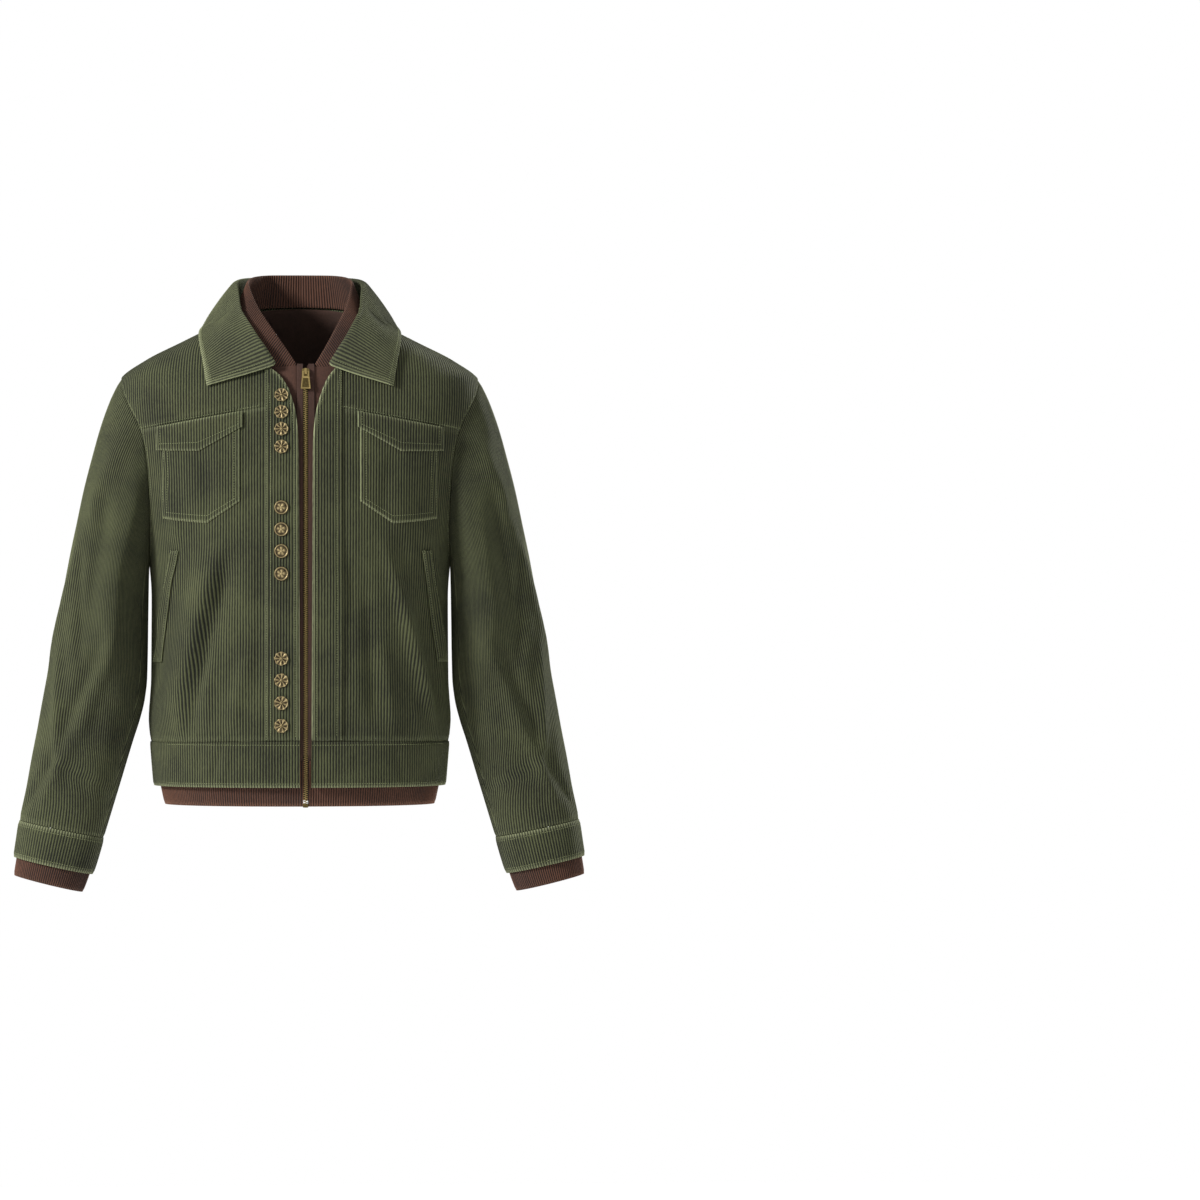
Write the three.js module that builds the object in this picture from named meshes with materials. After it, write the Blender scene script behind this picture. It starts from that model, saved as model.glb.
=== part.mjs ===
// A short corduroy jacket with a brown rib-knit inner front, as worn, in millimetres, +Z up.
// The origin is between the shoulder points, -Y is the front, +X is the wearer's left.
import * as THREE from 'three';

// Driving sizes
const OPENING_X = 7; // the zip line lies a little to the wearer's left
const CLOTH = 1.8; // wall of the corduroy panels
const SEAM = 0.3; // gap between neighbouring pieces
const SHOULDER_TIP_Z = -75;
const UNDERARM_Z = -300;
const NECK_SIDE_Z = 5;
const BAND_SEAM_Z = -527;
const BAND_HEM_Z = -585;
const RIB_TOP_Z = -552;
const RIB_HEM_Z = -609;
const ROUNDNESS = 2.2; // exponent of the body's rings: 2 is an ellipse
const BUTTON_DIAMETER = 18;

// Rings of the body: half width, and depth forward and backward of the shoulder line
const BODY_RINGS = [
  { z: -620, width: 181, front: 123, back: 117 },
  { z: -577, width: 183, front: 124, back: 118 },
  { z: -527, width: 187, front: 127, back: 121 },
  { z: -502, width: 189, front: 127, back: 121 },
  { z: -450, width: 186, front: 126, back: 119 },
  { z: -350, width: 185.5, front: 124, back: 117 },
  { z: -300, width: 189, front: 123, back: 117 },
  { z: -254, width: 197, front: 122, back: 118 },
  { z: -203, width: 206, front: 119, back: 118 },
  { z: -134, width: 224, front: 109, back: 115 },
  { z: -99, width: 230, front: 100, back: 110 },
  { z: -75, width: 224, front: 91, back: 105 },
  { z: -52, width: 194, front: 81, back: 97 },
  { z: -27, width: 145, front: 72, back: 88 },
  { z: -10, width: 112, front: 67, back: 82 },
  { z: 5, width: 88, front: 64, back: 76 },
  { z: 18, width: 83, front: 62, back: 70 },
  { z: 60, width: 80, front: 60, back: 66 },
];

// The armhole edge, seen from the front or the back
const ARMHOLE = [
  { z: -300, x: 189 },
  { z: -290, x: 188.4 },
  { z: -254, x: 187.5 },
  { z: -203, x: 189 },
  { z: -156, x: 195 },
  { z: -134, x: 202 },
  { z: -99, x: 219 },
  { z: -85, x: 223.5 },
  { z: -75, x: 224 },
];

// Half the opening between the front edges, and the line that it is centred on
const FRONT_EDGE = [
  { z: -600, gap: 7, centre: 7 },
  { z: -352, gap: 7.8, centre: 7 },
  { z: -165, gap: 8.5, centre: 7 },
  { z: -125, gap: 11.5, centre: 7 },
  { z: -97, gap: 18.6, centre: 7 },
  { z: -77, gap: 28, centre: 6 },
  { z: -66, gap: 38, centre: 4 },
  { z: -59.5, gap: 48, centre: 3 },
  { z: -57.5, gap: 54, centre: 2 },
];

// Necklines, from the front end or the back centre up to the side of the neck
const NECK_FRONT = [
  { t: 0, x: 54, z: -57.5 },
  { t: 0.25, x: 68, z: -44 },
  { t: 0.5, x: 78, z: -28 },
  { t: 0.75, x: 84, z: -11 },
  { t: 1, x: 88, z: NECK_SIDE_Z },
];
const NECK_BACK = [
  { t: 0, x: 0, z: 18 },
  { t: 0.33, x: 32, z: 17 },
  { t: 0.66, x: 64, z: 13 },
  { t: 1, x: 88, z: NECK_SIDE_Z },
];
const NECK_INNER_FRONT = [
  { t: 0, x: 3.4, z: -84 },
  { t: 0.2, x: 24, z: -82 },
  { t: 0.4, x: 45, z: -66 },
  { t: 0.6, x: 64, z: -44 },
  { t: 0.8, x: 79, z: -18 },
  { t: 1, x: 88, z: NECK_SIDE_Z },
];

// Long soft folds: where each starts and ends, how high it stands and how wide it is
const FOLDS = [
  { face: -1, topX: -104, topZ: -262, endX: -168, endZ: -520, height: 8, spread: 15 },
  { face: -1, topX: -84, topZ: -285, endX: -128, endZ: -465, height: -6, spread: 13 },
  { face: -1, topX: 119, topZ: -290, endX: 168, endZ: -505, height: 7, spread: 14 },
  { face: -1, topX: 142, topZ: -320, endX: 181, endZ: -500, height: -6, spread: 12 },
  { face: -1, topX: 40, topZ: -270, endX: 70, endZ: -515, height: 3, spread: 18 },
  { face: 1, topX: 58, topZ: -150, endX: 95, endZ: -400, height: 5, spread: 20 },
  { face: 1, topX: 28, topZ: -150, endX: 34, endZ: -340, height: -5, spread: 16 },
  { face: 1, topX: -22, topZ: -160, endX: -26, endZ: -500, height: 4, spread: 18 },
  { face: 1, topX: -72, topZ: -140, endX: -78, endZ: -430, height: -5, spread: 16 },
  { face: 1, topX: -98, topZ: -320, endX: -130, endZ: -510, height: 4, spread: 18 },
];

// The sleeve's outer and inner outline, seen from the front
const SLEEVE_OUTER = [
  { z: -696, x: 361 },
  { z: -674, x: 357.5 },
  { z: -628, x: 350.5 },
  { z: -577, x: 340 },
  { z: -527, x: 331 },
  { z: -477, x: 322 },
  { z: -402, x: 308 },
  { z: -302, x: 289 },
  { z: -202, x: 267.5 },
  { z: -152, x: 255 },
  { z: -102, x: 238 },
  { z: -85, x: 230 },
  { z: -75, x: 224.5 },
];
const SLEEVE_INNER = [
  { z: -719, x: 268.5 },
  { z: -696, x: 260 },
  { z: -650, x: 246 },
  { z: -577, x: 224 },
  { z: -527, x: 209 },
  { z: -502, x: 201 },
  { z: -477, x: 195 },
  { z: -450, x: 192 },
  { z: -400, x: 191 },
  { z: -325, x: 190.6 },
  { z: -300, x: 189.8 },
];
// Along the sleeve, 0 at the armhole and 1 at the cuff seam
const SLEEVE_SHAPE = [
  { s: 0, depth: 57, forward: 0 },
  { s: 0.1, depth: 62, forward: -1 },
  { s: 0.35, depth: 62, forward: -4 },
  { s: 0.65, depth: 54, forward: -8 },
  { s: 1, depth: 41, forward: -14 },
  { s: 1.16, depth: 39, forward: -16 },
];
const SLEEVE_FOLDS = [
  { angle: -90, turn: -10, start: 0.02, end: 0.62, height: 5, spread: 15 },
  { angle: -62, turn: -4, start: 0.12, end: 0.6, height: -4, spread: 13 },
  { angle: -128, turn: 0, start: 0.0, end: 0.3, height: -4, spread: 14 },
  { angle: 84, turn: -8, start: 0.1, end: 0.7, height: 4, spread: 18 },
  { angle: 30, turn: 0, start: 0.35, end: 0.9, height: -3, spread: 18 },
];

// Collar stations from the back centre to the front end: neck seam, fold and outer edge
const COLLAR = [
  { t: 0, nx: 0, ny: 70, nz: 18, fx: 0, fy: 76, fz: 57, ex: 0, ey: 90, ez: 11 },
  { t: 0.2, nx: 38, ny: 65, nz: 16.5, fx: 38, fy: 69, fz: 56, ex: 58, ey: 82, ez: 7 },
  { t: 0.4, nx: 70, ny: 42, nz: 12, fx: 67, fy: 44, fz: 52, ex: 100, ey: 55, ez: 1 },
  { t: 0.55, nx: 88, ny: 0, nz: 5, fx: 78, fy: 10, fz: 45, ex: 122, ey: 6, ez: -9 },
  { t: 0.7, nx: 83, ny: -51, nz: -14, fx: 74, fy: -30, fz: 15, ex: 122, ey: -40, ez: -33 },
  { t: 0.85, nx: 70, ny: -69, nz: -41, fx: 57, fy: -66, fz: -20, ex: 119.5, ey: -71, ez: -60 },
  { t: 1, nx: 54, ny: -80, nz: -57.5, fx: 34, fy: -87, fz: -57, ex: 116, ey: -90, ez: -86 },
];
const COLLAR_THICKNESS = 2.6;

// Brown inner collar: its seam with the inner body and its free edge
const INNER_COLLAR = [
  { t: 0, sx: 0, sy: 64.5, sz: 19, ex: 0, ey: 66, ez: 60 },
  { t: 0.2, sx: 38, sy: 59, sz: 17.5, ex: 34, ey: 59, ez: 59.5 },
  { t: 0.4, sx: 67, sy: 36, sz: 13, ex: 57, ey: 35, ez: 56 },
  { t: 0.55, sx: 82, sy: 0, sz: 4, ex: 65, ey: 8, ez: 48 },
  { t: 0.7, sx: 76, sy: -44, sz: -13, ex: 56, ey: -25, ez: 18 },
  { t: 0.85, sx: 54, sy: -71, sz: -49, ex: 34, ey: -60, ez: -22 },
  { t: 1, sx: 24, sy: -83, sz: -80, ex: 12, ey: -76, ez: -58 },
];
const INNER_COLLAR_THICKNESS = 2.4;

// Chest pocket and flap outlines, as x from the middle and z, for the wearer's left side
const YOKE_SEAM_FRONT = { x: 43, z: -112.5, slope: -0.175 };
const YOKE_SEAM_BACK = { x: 0, z: -114, slope: -0.09 };
const POCKET_COLUMNS = [
  { x: 74, low: -230, high: -139 },
  { x: 87, low: -239, high: -139 },
  { x: 101, low: -248, high: -139 },
  { x: 115, low: -257.5, high: -139 },
  { x: 133, low: -256, high: -139 },
  { x: 151, low: -254, high: -139 },
  { x: 170, low: -251, high: -139 },
];
const FLAP_COLUMNS = [
  { x: 71, low: -138 },
  { x: 89, low: -148 },
  { x: 107, low: -158 },
  { x: 125, low: -168 },
  { x: 142, low: -167.5 },
  { x: 160, low: -167 },
  { x: 177, low: -166 },
];
const PLACKET_RIGHT_WIDTH = 42.5;
const PLACKET_LEFT_WIDTH = 37.5;
const BUTTON_HEIGHTS = [-99, -120, -141, -163, -238, -265, -292, -320, -425, -452, -480, -508];
const BUTTON_X = -23;

// Materials
const corduroy = new THREE.MeshStandardMaterial({ color: 0x42472f, roughness: 0.95 });
const rib = new THREE.MeshStandardMaterial({ color: 0x4a3329, roughness: 0.95 });
const brass = new THREE.MeshStandardMaterial({ color: 0x6b6346, roughness: 0.45, metalness: 0.9 });
const lining = new THREE.MeshStandardMaterial({ color: 0x2b1d17, roughness: 0.9 });

const jacket = new THREE.Group();

// A smooth curve through the rows of a table, with no overshoot between them
function through(rows, key, column) {
  const at = rows.map((row) => row[key]);
  const value = rows.map((row) => row[column]);
  const last = at.length - 1;
  const rise = at.slice(1).map((x, i) => (value[i + 1] - value[i]) / (x - at[i]));
  const slope = at.map((_, i) => {
    if (i === 0) return rise[0];
    if (i === last) return rise[last - 1];
    const product = rise[i - 1] * rise[i];
    return product <= 0 ? 0 : (2 * product) / (rise[i - 1] + rise[i]);
  });
  return (place) => {
    const x = Math.min(Math.max(place, at[0]), at[last]);
    let i = 0;
    while (i < last - 1 && x > at[i + 1]) i += 1;
    const span = at[i + 1] - at[i];
    const f = (x - at[i]) / span;
    const g = 1 - f;
    const ends = value[i] * g * g * (1 + 2 * f) + value[i + 1] * f * f * (3 - 2 * f);
    return ends + span * f * g * (slope[i] * g - slope[i + 1] * f);
  };
}

const lerp = (a, b, f) => a + (b - a) * f;
const ramp = (x) => {
  const f = Math.min(Math.max(x, 0), 1);
  return f * f * (3 - 2 * f);
};

const bodyWidth = through(BODY_RINGS, 'z', 'width');
const bodyFront = through(BODY_RINGS, 'z', 'front');
const bodyBack = through(BODY_RINGS, 'z', 'back');
const armholeX = through(ARMHOLE, 'z', 'x');
const edgeGap = through(FRONT_EDGE, 'z', 'gap');
const edgeCentre = through(FRONT_EDGE, 'z', 'centre');
const sleeveOuterX = through(SLEEVE_OUTER, 'z', 'x');
const sleeveInnerX = through(SLEEVE_INNER, 'z', 'x');
const sleeveDepth = through(SLEEVE_SHAPE, 's', 'depth');
const sleeveForward = through(SLEEVE_SHAPE, 's', 'forward');

// How far the long folds lift the cloth at a place seen from the front or back
function foldHeight(x, z, face) {
  let height = 0;
  for (const fold of FOLDS) {
    if (fold.face !== face) continue;
    const v = (fold.topZ - z) / (fold.topZ - fold.endZ);
    const line = lerp(fold.topX, fold.endX, v);
    const fade = ramp(v / 0.35) * ramp((1.02 - v) / 0.25);
    const across = (x - line) / fold.spread;
    height += fold.height * fade * Math.exp(-across * across);
  }
  return height;
}

// A point of the body's skin at a place seen from the front (face -1) or back (face 1),
// moved out by the folds and by offset along the skin's own normal
function skin(x, z, face, offset = 0, folded = true) {
  const width = bodyWidth(z);
  const depthAt = face < 0 ? bodyFront : bodyBack;
  const depth = depthAt(z);
  const across = Math.min(Math.abs(x) / width, 1);
  const along = Math.pow(1 - Math.pow(across, ROUNDNESS), 1 / ROUNDNESS);
  const step = 1;
  const widthSlope = (bodyWidth(z + step) - bodyWidth(z - step)) / (2 * step);
  const depthSlope = (depthAt(z + step) - depthAt(z - step)) / (2 * step);
  const normal = new THREE.Vector3(
    (Math.sign(x) * Math.pow(across, ROUNDNESS - 1)) / width,
    (face * Math.pow(along, ROUNDNESS - 1)) / depth,
    -(Math.pow(across, ROUNDNESS) * widthSlope) / width
      - (Math.pow(along, ROUNDNESS) * depthSlope) / depth,
  ).normalize();
  const side = Math.abs(x) / width;
  const lift = folded ? foldHeight(x, z, face) * ramp((0.995 - side) / 0.06) : 0;
  const point = new THREE.Vector3(Math.sign(x) * across * width, face * depth * along, z);
  return point.addScaledVector(normal, lift + offset);
}

// A closed body from two grids of points, rows by columns, its outer and its inner side
function closedWall(outer, inner, around = false) {
  const rows = outer.length;
  const columns = outer[0].length;
  const points = [...outer.flat(), ...inner.flat()];
  const base = rows * columns;
  const faces = [];
  const quad = (a, b, c, d) => faces.push(a, b, c, a, c, d);
  const at = (i, j) => i * columns + (j % columns);
  const spans = around ? columns : columns - 1;
  for (let i = 0; i < rows - 1; i += 1) {
    for (let j = 0; j < spans; j += 1) {
      quad(at(i, j), at(i, j + 1), at(i + 1, j + 1), at(i + 1, j));
      quad(base + at(i, j), base + at(i + 1, j), base + at(i + 1, j + 1), base + at(i, j + 1));
    }
  }
  for (let j = 0; j < spans; j += 1) {
    quad(at(0, j), base + at(0, j), base + at(0, j + 1), at(0, j + 1));
    const i = rows - 1;
    quad(at(i, j), at(i, j + 1), base + at(i, j + 1), base + at(i, j));
  }
  if (!around) {
    for (let i = 0; i < rows - 1; i += 1) {
      quad(at(i, 0), at(i + 1, 0), base + at(i + 1, 0), base + at(i, 0));
      const j = columns - 1;
      quad(at(i, j), base + at(i, j), base + at(i + 1, j), at(i + 1, j));
    }
  }
  let volume = 0;
  for (let k = 0; k < faces.length; k += 3) {
    const [a, b, c] = [points[faces[k]], points[faces[k + 1]], points[faces[k + 2]]];
    volume += a.dot(new THREE.Vector3().crossVectors(b, c));
  }
  if (volume < 0) faces.reverse();
  const geometry = new THREE.BufferGeometry();
  const numbers = points.flatMap((p) => [p.x, p.y, p.z]);
  geometry.setAttribute('position', new THREE.Float32BufferAttribute(numbers, 3));
  geometry.setIndex(faces);
  geometry.computeVertexNormals();
  return geometry;
}

function addPiece(name, geometry, material, parent = jacket) {
  const mesh = new THREE.Mesh(geometry, material);
  mesh.name = name;
  parent.add(mesh);
  return mesh;
}

// Pulls the rim of a grid in by half a seam gap
function trimEdges(grid, sides = 'all', amount = SEAM / 2) {
  const rows = grid.length;
  const columns = grid[0].length;
  const pull = (p, towards) => {
    const step = towards.clone().sub(p);
    const length = step.length();
    return length > amount ? p.clone().addScaledVector(step, amount / length) : p;
  };
  const copy = grid.map((row) => [...row]);
  for (let j = 0; j < columns; j += 1) {
    copy[0][j] = pull(copy[0][j], grid[1][j]);
    copy[rows - 1][j] = pull(copy[rows - 1][j], grid[rows - 2][j]);
  }
  if (sides === 'all') {
    for (let i = 0; i < rows; i += 1) {
      copy[i][0] = pull(copy[i][0], copy[i][1]);
      copy[i][columns - 1] = pull(copy[i][columns - 1], copy[i][columns - 2]);
    }
  }
  return copy;
}

// A piece that lies on the body: a grid of places {x, z}, between two offsets from the skin
function bodyPiece(name, places, face, outside, inside, material, folded = true) {
  const lift = (value, i, j) => (typeof value === 'function' ? value(places[i][j]) : value);
  const make = (value) => trimEdges(places.map((row, i) => row.map(
    (place, j) => skin(place.x, place.z, face, lift(value, i, j), folded))));
  return addPiece(name, closedWall(make(outside), make(inside)), material);
}

// Signed x of a ring at an angle from the front or back centre line, 90 at the side
const ringX = (angle, z) => {
  const s = Math.sin(angle);
  return Math.sign(s) * bodyWidth(z) * Math.pow(Math.abs(s), 2 / ROUNDNESS);
};
const ringAngle = (x, z) => {
  const share = Math.min(Math.abs(x) / bodyWidth(z), 1);
  return Math.sign(x) * Math.asin(Math.pow(share, ROUNDNESS / 2));
};
const frontEdgeX = (side, z) => edgeCentre(z) + side * edgeGap(z);
const seamZ = (seam, x) => seam.z + (Math.abs(x) - seam.x) * seam.slope;
const sideX = (z) => (z > UNDERARM_Z ? armholeX(z) : bodyWidth(z));
const bandSeamZ = (x, face) => BAND_SEAM_Z + (face < 0 ? 3 * (1 - Math.abs(x) / 190) : 0) - 3;

// Places of a panel below the yoke seam, from startX(z) out to the side
function lowerPlaces(side, startX, face, seam, columns, lowZ = bandSeamZ) {
  const levels = [0, 0.25, 0.5, 0.75, 1];
  const upper = [0.17, 0.33, 0.5, 0.67, 0.84, 1];
  const rows = [];
  const rowAt = (zOf) => {
    const row = [];
    for (let j = 0; j <= columns; j += 1) {
      let z = zOf(side * 100);
      let x = 0;
      for (let pass = 0; pass < 4; pass += 1) {
        const from = ringAngle(startX(z), z);
        const to = side * ringAngle(sideX(z), z);
        x = ringX(lerp(from, to, j / columns), z);
        if (j === columns) x = side * sideX(z);
        z = zOf(x);
      }
      row.push({ x, z });
    }
    return row;
  };
  for (const v of levels) rows.push(rowAt((x) => lerp(lowZ(x, face), UNDERARM_Z, v)));
  for (const v of upper) rows.push(rowAt((x) => lerp(UNDERARM_Z, seamZ(seam, x), v)));
  return rows;
}

// Places above the yoke seam: up to the neckline and then along the shoulder seam
function yokePlaces(side, bottomRow, edgeX, neckRows, neckColumns, rowsUp) {
  const columns = bottomRow.length - 1;
  const neckX = through(neckRows, 't', 'x');
  const neckZ = through(neckRows, 't', 'z');
  const shoulder = BODY_RINGS.map((ring) => ({ x: ring.width, z: ring.z }))
    .filter((ring) => ring.z <= NECK_SIDE_Z && ring.z >= SHOULDER_TIP_Z);
  const top = [];
  for (let j = 0; j <= columns; j += 1) {
    if (j <= neckColumns) {
      const t = j / neckColumns;
      top.push({ x: side * neckX(t), z: neckZ(t) });
    } else {
      const f = (j - neckColumns) / (columns - neckColumns);
      const z = lerp(shoulder[shoulder.length - 1].z, shoulder[0].z, f);
      top.push({ x: side * bodyWidth(z), z });
    }
  }
  if (edgeX) top[0] = { x: edgeX(top[0].z), z: top[0].z };
  const rows = [bottomRow];
  for (let i = 1; i <= rowsUp; i += 1) {
    const v = 1 - (1 - i / rowsUp) ** 2;
    const startZ = lerp(bottomRow[0].z, top[0].z, v);
    const startX = edgeX ? edgeX(startZ) : 0;
    const startShift = startX - lerp(bottomRow[0].x, top[0].x, v);
    const endZ = lerp(bottomRow[columns].z, SHOULDER_TIP_Z, v);
    const endShift = side * armholeX(endZ) - lerp(bottomRow[columns].x, top[columns].x, v);
    const row = top.map((end, j) => {
      const u = j / columns;
      const z = lerp(bottomRow[j].z, end.z, v);
      const x = lerp(bottomRow[j].x, end.x, v) + startShift * (1 - u) ** 2 + endShift * u * u;
      const most = bodyWidth(z);
      return { x: Math.sign(x) * Math.min(Math.abs(x), most), z };
    });
    rows.push(row);
  }
  return rows;
}

const FRONT_COLUMNS = 13;
const BACK_COLUMNS = 10; // each side of the back centre
const NECK_COLUMNS = 5;
const YOKE_ROWS = 5;
const mirrorJoin = (rightHalf, leftHalf) => rightHalf.map(
  (row, i) => [...row.slice(1).reverse(), ...leftHalf[i]]);

// Corduroy body panels
const armholeLoops = {};
for (const side of [-1, 1]) {
  const label = side < 0 ? 'right' : 'left';
  const edge = (z) => frontEdgeX(side, z);
  const lower = lowerPlaces(side, edge, -1, YOKE_SEAM_FRONT, FRONT_COLUMNS);
  bodyPiece(`front_${label}`, lower, -1, 0, -CLOTH, corduroy);
  const yoke = yokePlaces(side, lower[lower.length - 1], edge, NECK_FRONT, NECK_COLUMNS, YOKE_ROWS);
  bodyPiece(`front_yoke_${label}`, yoke, -1, 0, -CLOTH, corduroy);
  armholeLoops[label] = { front: [...lower.slice(4), ...yoke.slice(1)].map((row) => row.at(-1)) };
}
const backLower = [-1, 1].map(
  (side) => lowerPlaces(side, () => 0, 1, YOKE_SEAM_BACK, BACK_COLUMNS));
bodyPiece('back_panel', mirrorJoin(...backLower), 1, 0, -CLOTH, corduroy);
const backYoke = [-1, 1].map((side, k) => yokePlaces(
  side, backLower[k][backLower[k].length - 1], null, NECK_BACK, NECK_COLUMNS, YOKE_ROWS));
bodyPiece('back_yoke', mirrorJoin(...backYoke), 1, 0, -CLOTH, corduroy);
['right', 'left'].forEach((label, k) => {
  const rows = [...backLower[k].slice(4), ...backYoke[k].slice(1)];
  armholeLoops[label].back = rows.map((row) => row.at(-1));
});

// Waistband, in three lengths, and the brown rib hem below it
const BAND_OUT = 0.8;
const BAND_IN = -3.4;
function bandPlaces(side, face, startX, columns, topZ, lowZ) {
  const rows = [];
  for (const v of [0, 0.33, 0.67, 1]) {
    const row = [];
    for (let j = 0; j <= columns; j += 1) {
      const z = lerp(lowZ, topZ, v);
      const from = ringAngle(startX(z), z);
      const x = ringX(lerp(from, (side * Math.PI) / 2, j / columns), z);
      row.push({ x, z: lerp(lowZ, topZ + (bandSeamZ(x, face) - BAND_SEAM_Z) * (topZ > RIB_TOP_Z), v) });
    }
    rows.push(row);
  }
  return rows;
}
const ribInset = through([
  { z: RIB_HEM_Z, inset: -12 }, { z: BAND_HEM_Z, inset: -8 }, { z: RIB_TOP_Z, inset: -4 },
], 'z', 'inset');
const RIB_THICKNESS = 2.4;
for (const side of [-1, 1]) {
  const label = side < 0 ? 'right' : 'left';
  const front = bandPlaces(side, -1, (z) => frontEdgeX(side, z), 12, BAND_SEAM_Z, BAND_HEM_Z);
  bodyPiece(`waistband_${label}`, front, -1, BAND_OUT, BAND_IN, corduroy, false);
  const ribFront = bandPlaces(side, -1, () => OPENING_X + side * 3.6, 12, RIB_TOP_Z, RIB_HEM_Z);
  const ribBack = bandPlaces(side, 1, () => 0, 12, RIB_TOP_Z, RIB_HEM_Z);
  const wrap = (offset) => trimEdges(ribFront.map((row, i) => [
    ...row.map((p) => skin(p.x, p.z, -1, ribInset(p.z) + offset, false)),
    ...ribBack[i].slice(0, -1).reverse().map(
      (p) => skin(p.x, p.z, 1, ribInset(p.z) + offset, false)),
  ]));
  addPiece(`rib_hem_${label}`, closedWall(wrap(0), wrap(-RIB_THICKNESS)), rib);
}
const bandBack = [-1, 1].map(
  (side) => bandPlaces(side, 1, () => 0, 11, BAND_SEAM_Z, BAND_HEM_Z));
bodyPiece('waistband_back', mirrorJoin(...bandBack), 1, BAND_OUT, BAND_IN, corduroy, false);

// Brown inner body, inside the corduroy
const INNER_INSET = 5; // at the zip, the neck and the hem
const INNER_SLACK = 9; // more where the outer cloth folds
const INNER_CLOTH = 1.5;
const innerLow = () => RIB_TOP_Z;
function innerLift(place) {
  const awayFromZip = ramp((Math.abs(place.x - OPENING_X) - 18) / 40);
  const belowNeck = ramp((-95 - place.z) / 60);
  const aboveHem = ramp((place.z - RIB_TOP_Z) / 30);
  return -INNER_INSET - INNER_SLACK * awayFromZip * belowNeck * aboveHem;
}
const innerUnder = (place) => innerLift(place) - INNER_CLOTH;
const innerBackHalves = [];
for (const side of [-1, 1]) {
  const label = side < 0 ? 'right' : 'left';
  const edge = () => OPENING_X + side * 3.6;
  const lower = lowerPlaces(side, edge, -1, YOKE_SEAM_FRONT, 8, innerLow);
  const upper = yokePlaces(side, lower[lower.length - 1], edge, NECK_INNER_FRONT, 4, YOKE_ROWS);
  const places = [...lower, ...upper.slice(1)];
  bodyPiece(`inner_front_${label}`, places, -1, innerLift, innerUnder, lining, false);
  const backHalf = lowerPlaces(side, () => 0, 1, YOKE_SEAM_BACK, 6, innerLow);
  const backTop = yokePlaces(side, backHalf[backHalf.length - 1], null, NECK_BACK, 3, YOKE_ROWS);
  innerBackHalves.push([...backHalf, ...backTop.slice(1)]);
}
bodyPiece('inner_back', mirrorJoin(...innerBackHalves), 1, innerLift, innerUnder, lining, false);

// Sleeves: rings from the armhole to the cuff, angle 0 outside, 90 behind, -90 in front
const SLEEVE_RINGS = 11;
const CUFF_SEAM = { outerZ: -628, innerZ: -650 };
const CUFF_END = { outerZ: -674, innerZ: -696 };
const RIB_CUFF_END = { outerZ: -696, innerZ: -719 };
const BACK_SEAM_ARMHOLE_ANGLE = 85;
const BACK_SEAM_CUFF_ANGLE = 73;
const UNDER_SEAM_CUFF_ANGLE = 200;

function sleevePoint(side, angle, outerZ, innerZ, depth, forward) {
  const turn = (angle * Math.PI) / 180;
  const outer = { x: sleeveOuterX(outerZ), z: outerZ };
  const inner = { x: sleeveInnerX(innerZ), z: innerZ };
  const f = (1 - Math.cos(turn)) / 2;
  return new THREE.Vector3(
    side * lerp(outer.x, inner.x, f), forward + depth * Math.sin(turn), lerp(outer.z, inner.z, f));
}

function sleeveFold(angle, s) {
  let height = 0;
  for (const fold of SLEEVE_FOLDS) {
    const v = (s - fold.start) / (fold.end - fold.start);
    const fade = ramp(v / 0.3) * ramp((1 - v) / 0.3);
    const across = (angle - fold.angle - fold.turn * v) / fold.spread;
    height += fold.height * fade * Math.exp(-across * across);
  }
  return height;
}

// Angles of the ring's columns at the armhole, from the places on its edge
function loopColumns(label) {
  const { front, back } = armholeLoops[label];
  const columns = [];
  const angleOf = (z) => {
    const middle = (SHOULDER_TIP_Z + UNDERARM_Z) / 2;
    const reach = (SHOULDER_TIP_Z - UNDERARM_Z) / 2;
    return (Math.acos(Math.min(Math.max((z - middle) / reach, -1), 1)) * 180) / Math.PI;
  };
  front.forEach((place) => columns.push({ place, face: -1, angle: -angleOf(place.z) }));
  back.slice(1, -1).reverse().forEach(
    (place) => columns.push({ place, face: 1, angle: angleOf(place.z) }));
  return columns; // from the underarm, up the front, over the top and down the back
}

// Points of the sleeve from ring 0 at the armhole to its end, and their outward normals
function ringNormals(grid, middle) {
  const rows = grid.length;
  const columns = grid[0].length;
  return grid.map((row, i) => row.map((p, j) => {
    const alongStep = grid[Math.min(i + 1, rows - 1)][j].clone().sub(grid[Math.max(i - 1, 0)][j]);
    const aroundStep = row[(j + 1) % columns].clone().sub(row[(j + columns - 1) % columns]);
    const normal = alongStep.cross(aroundStep).normalize();
    const out = p.clone().sub(middle[i]);
    return out.dot(normal) < 0 ? normal.negate() : normal;
  }));
}

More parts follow.
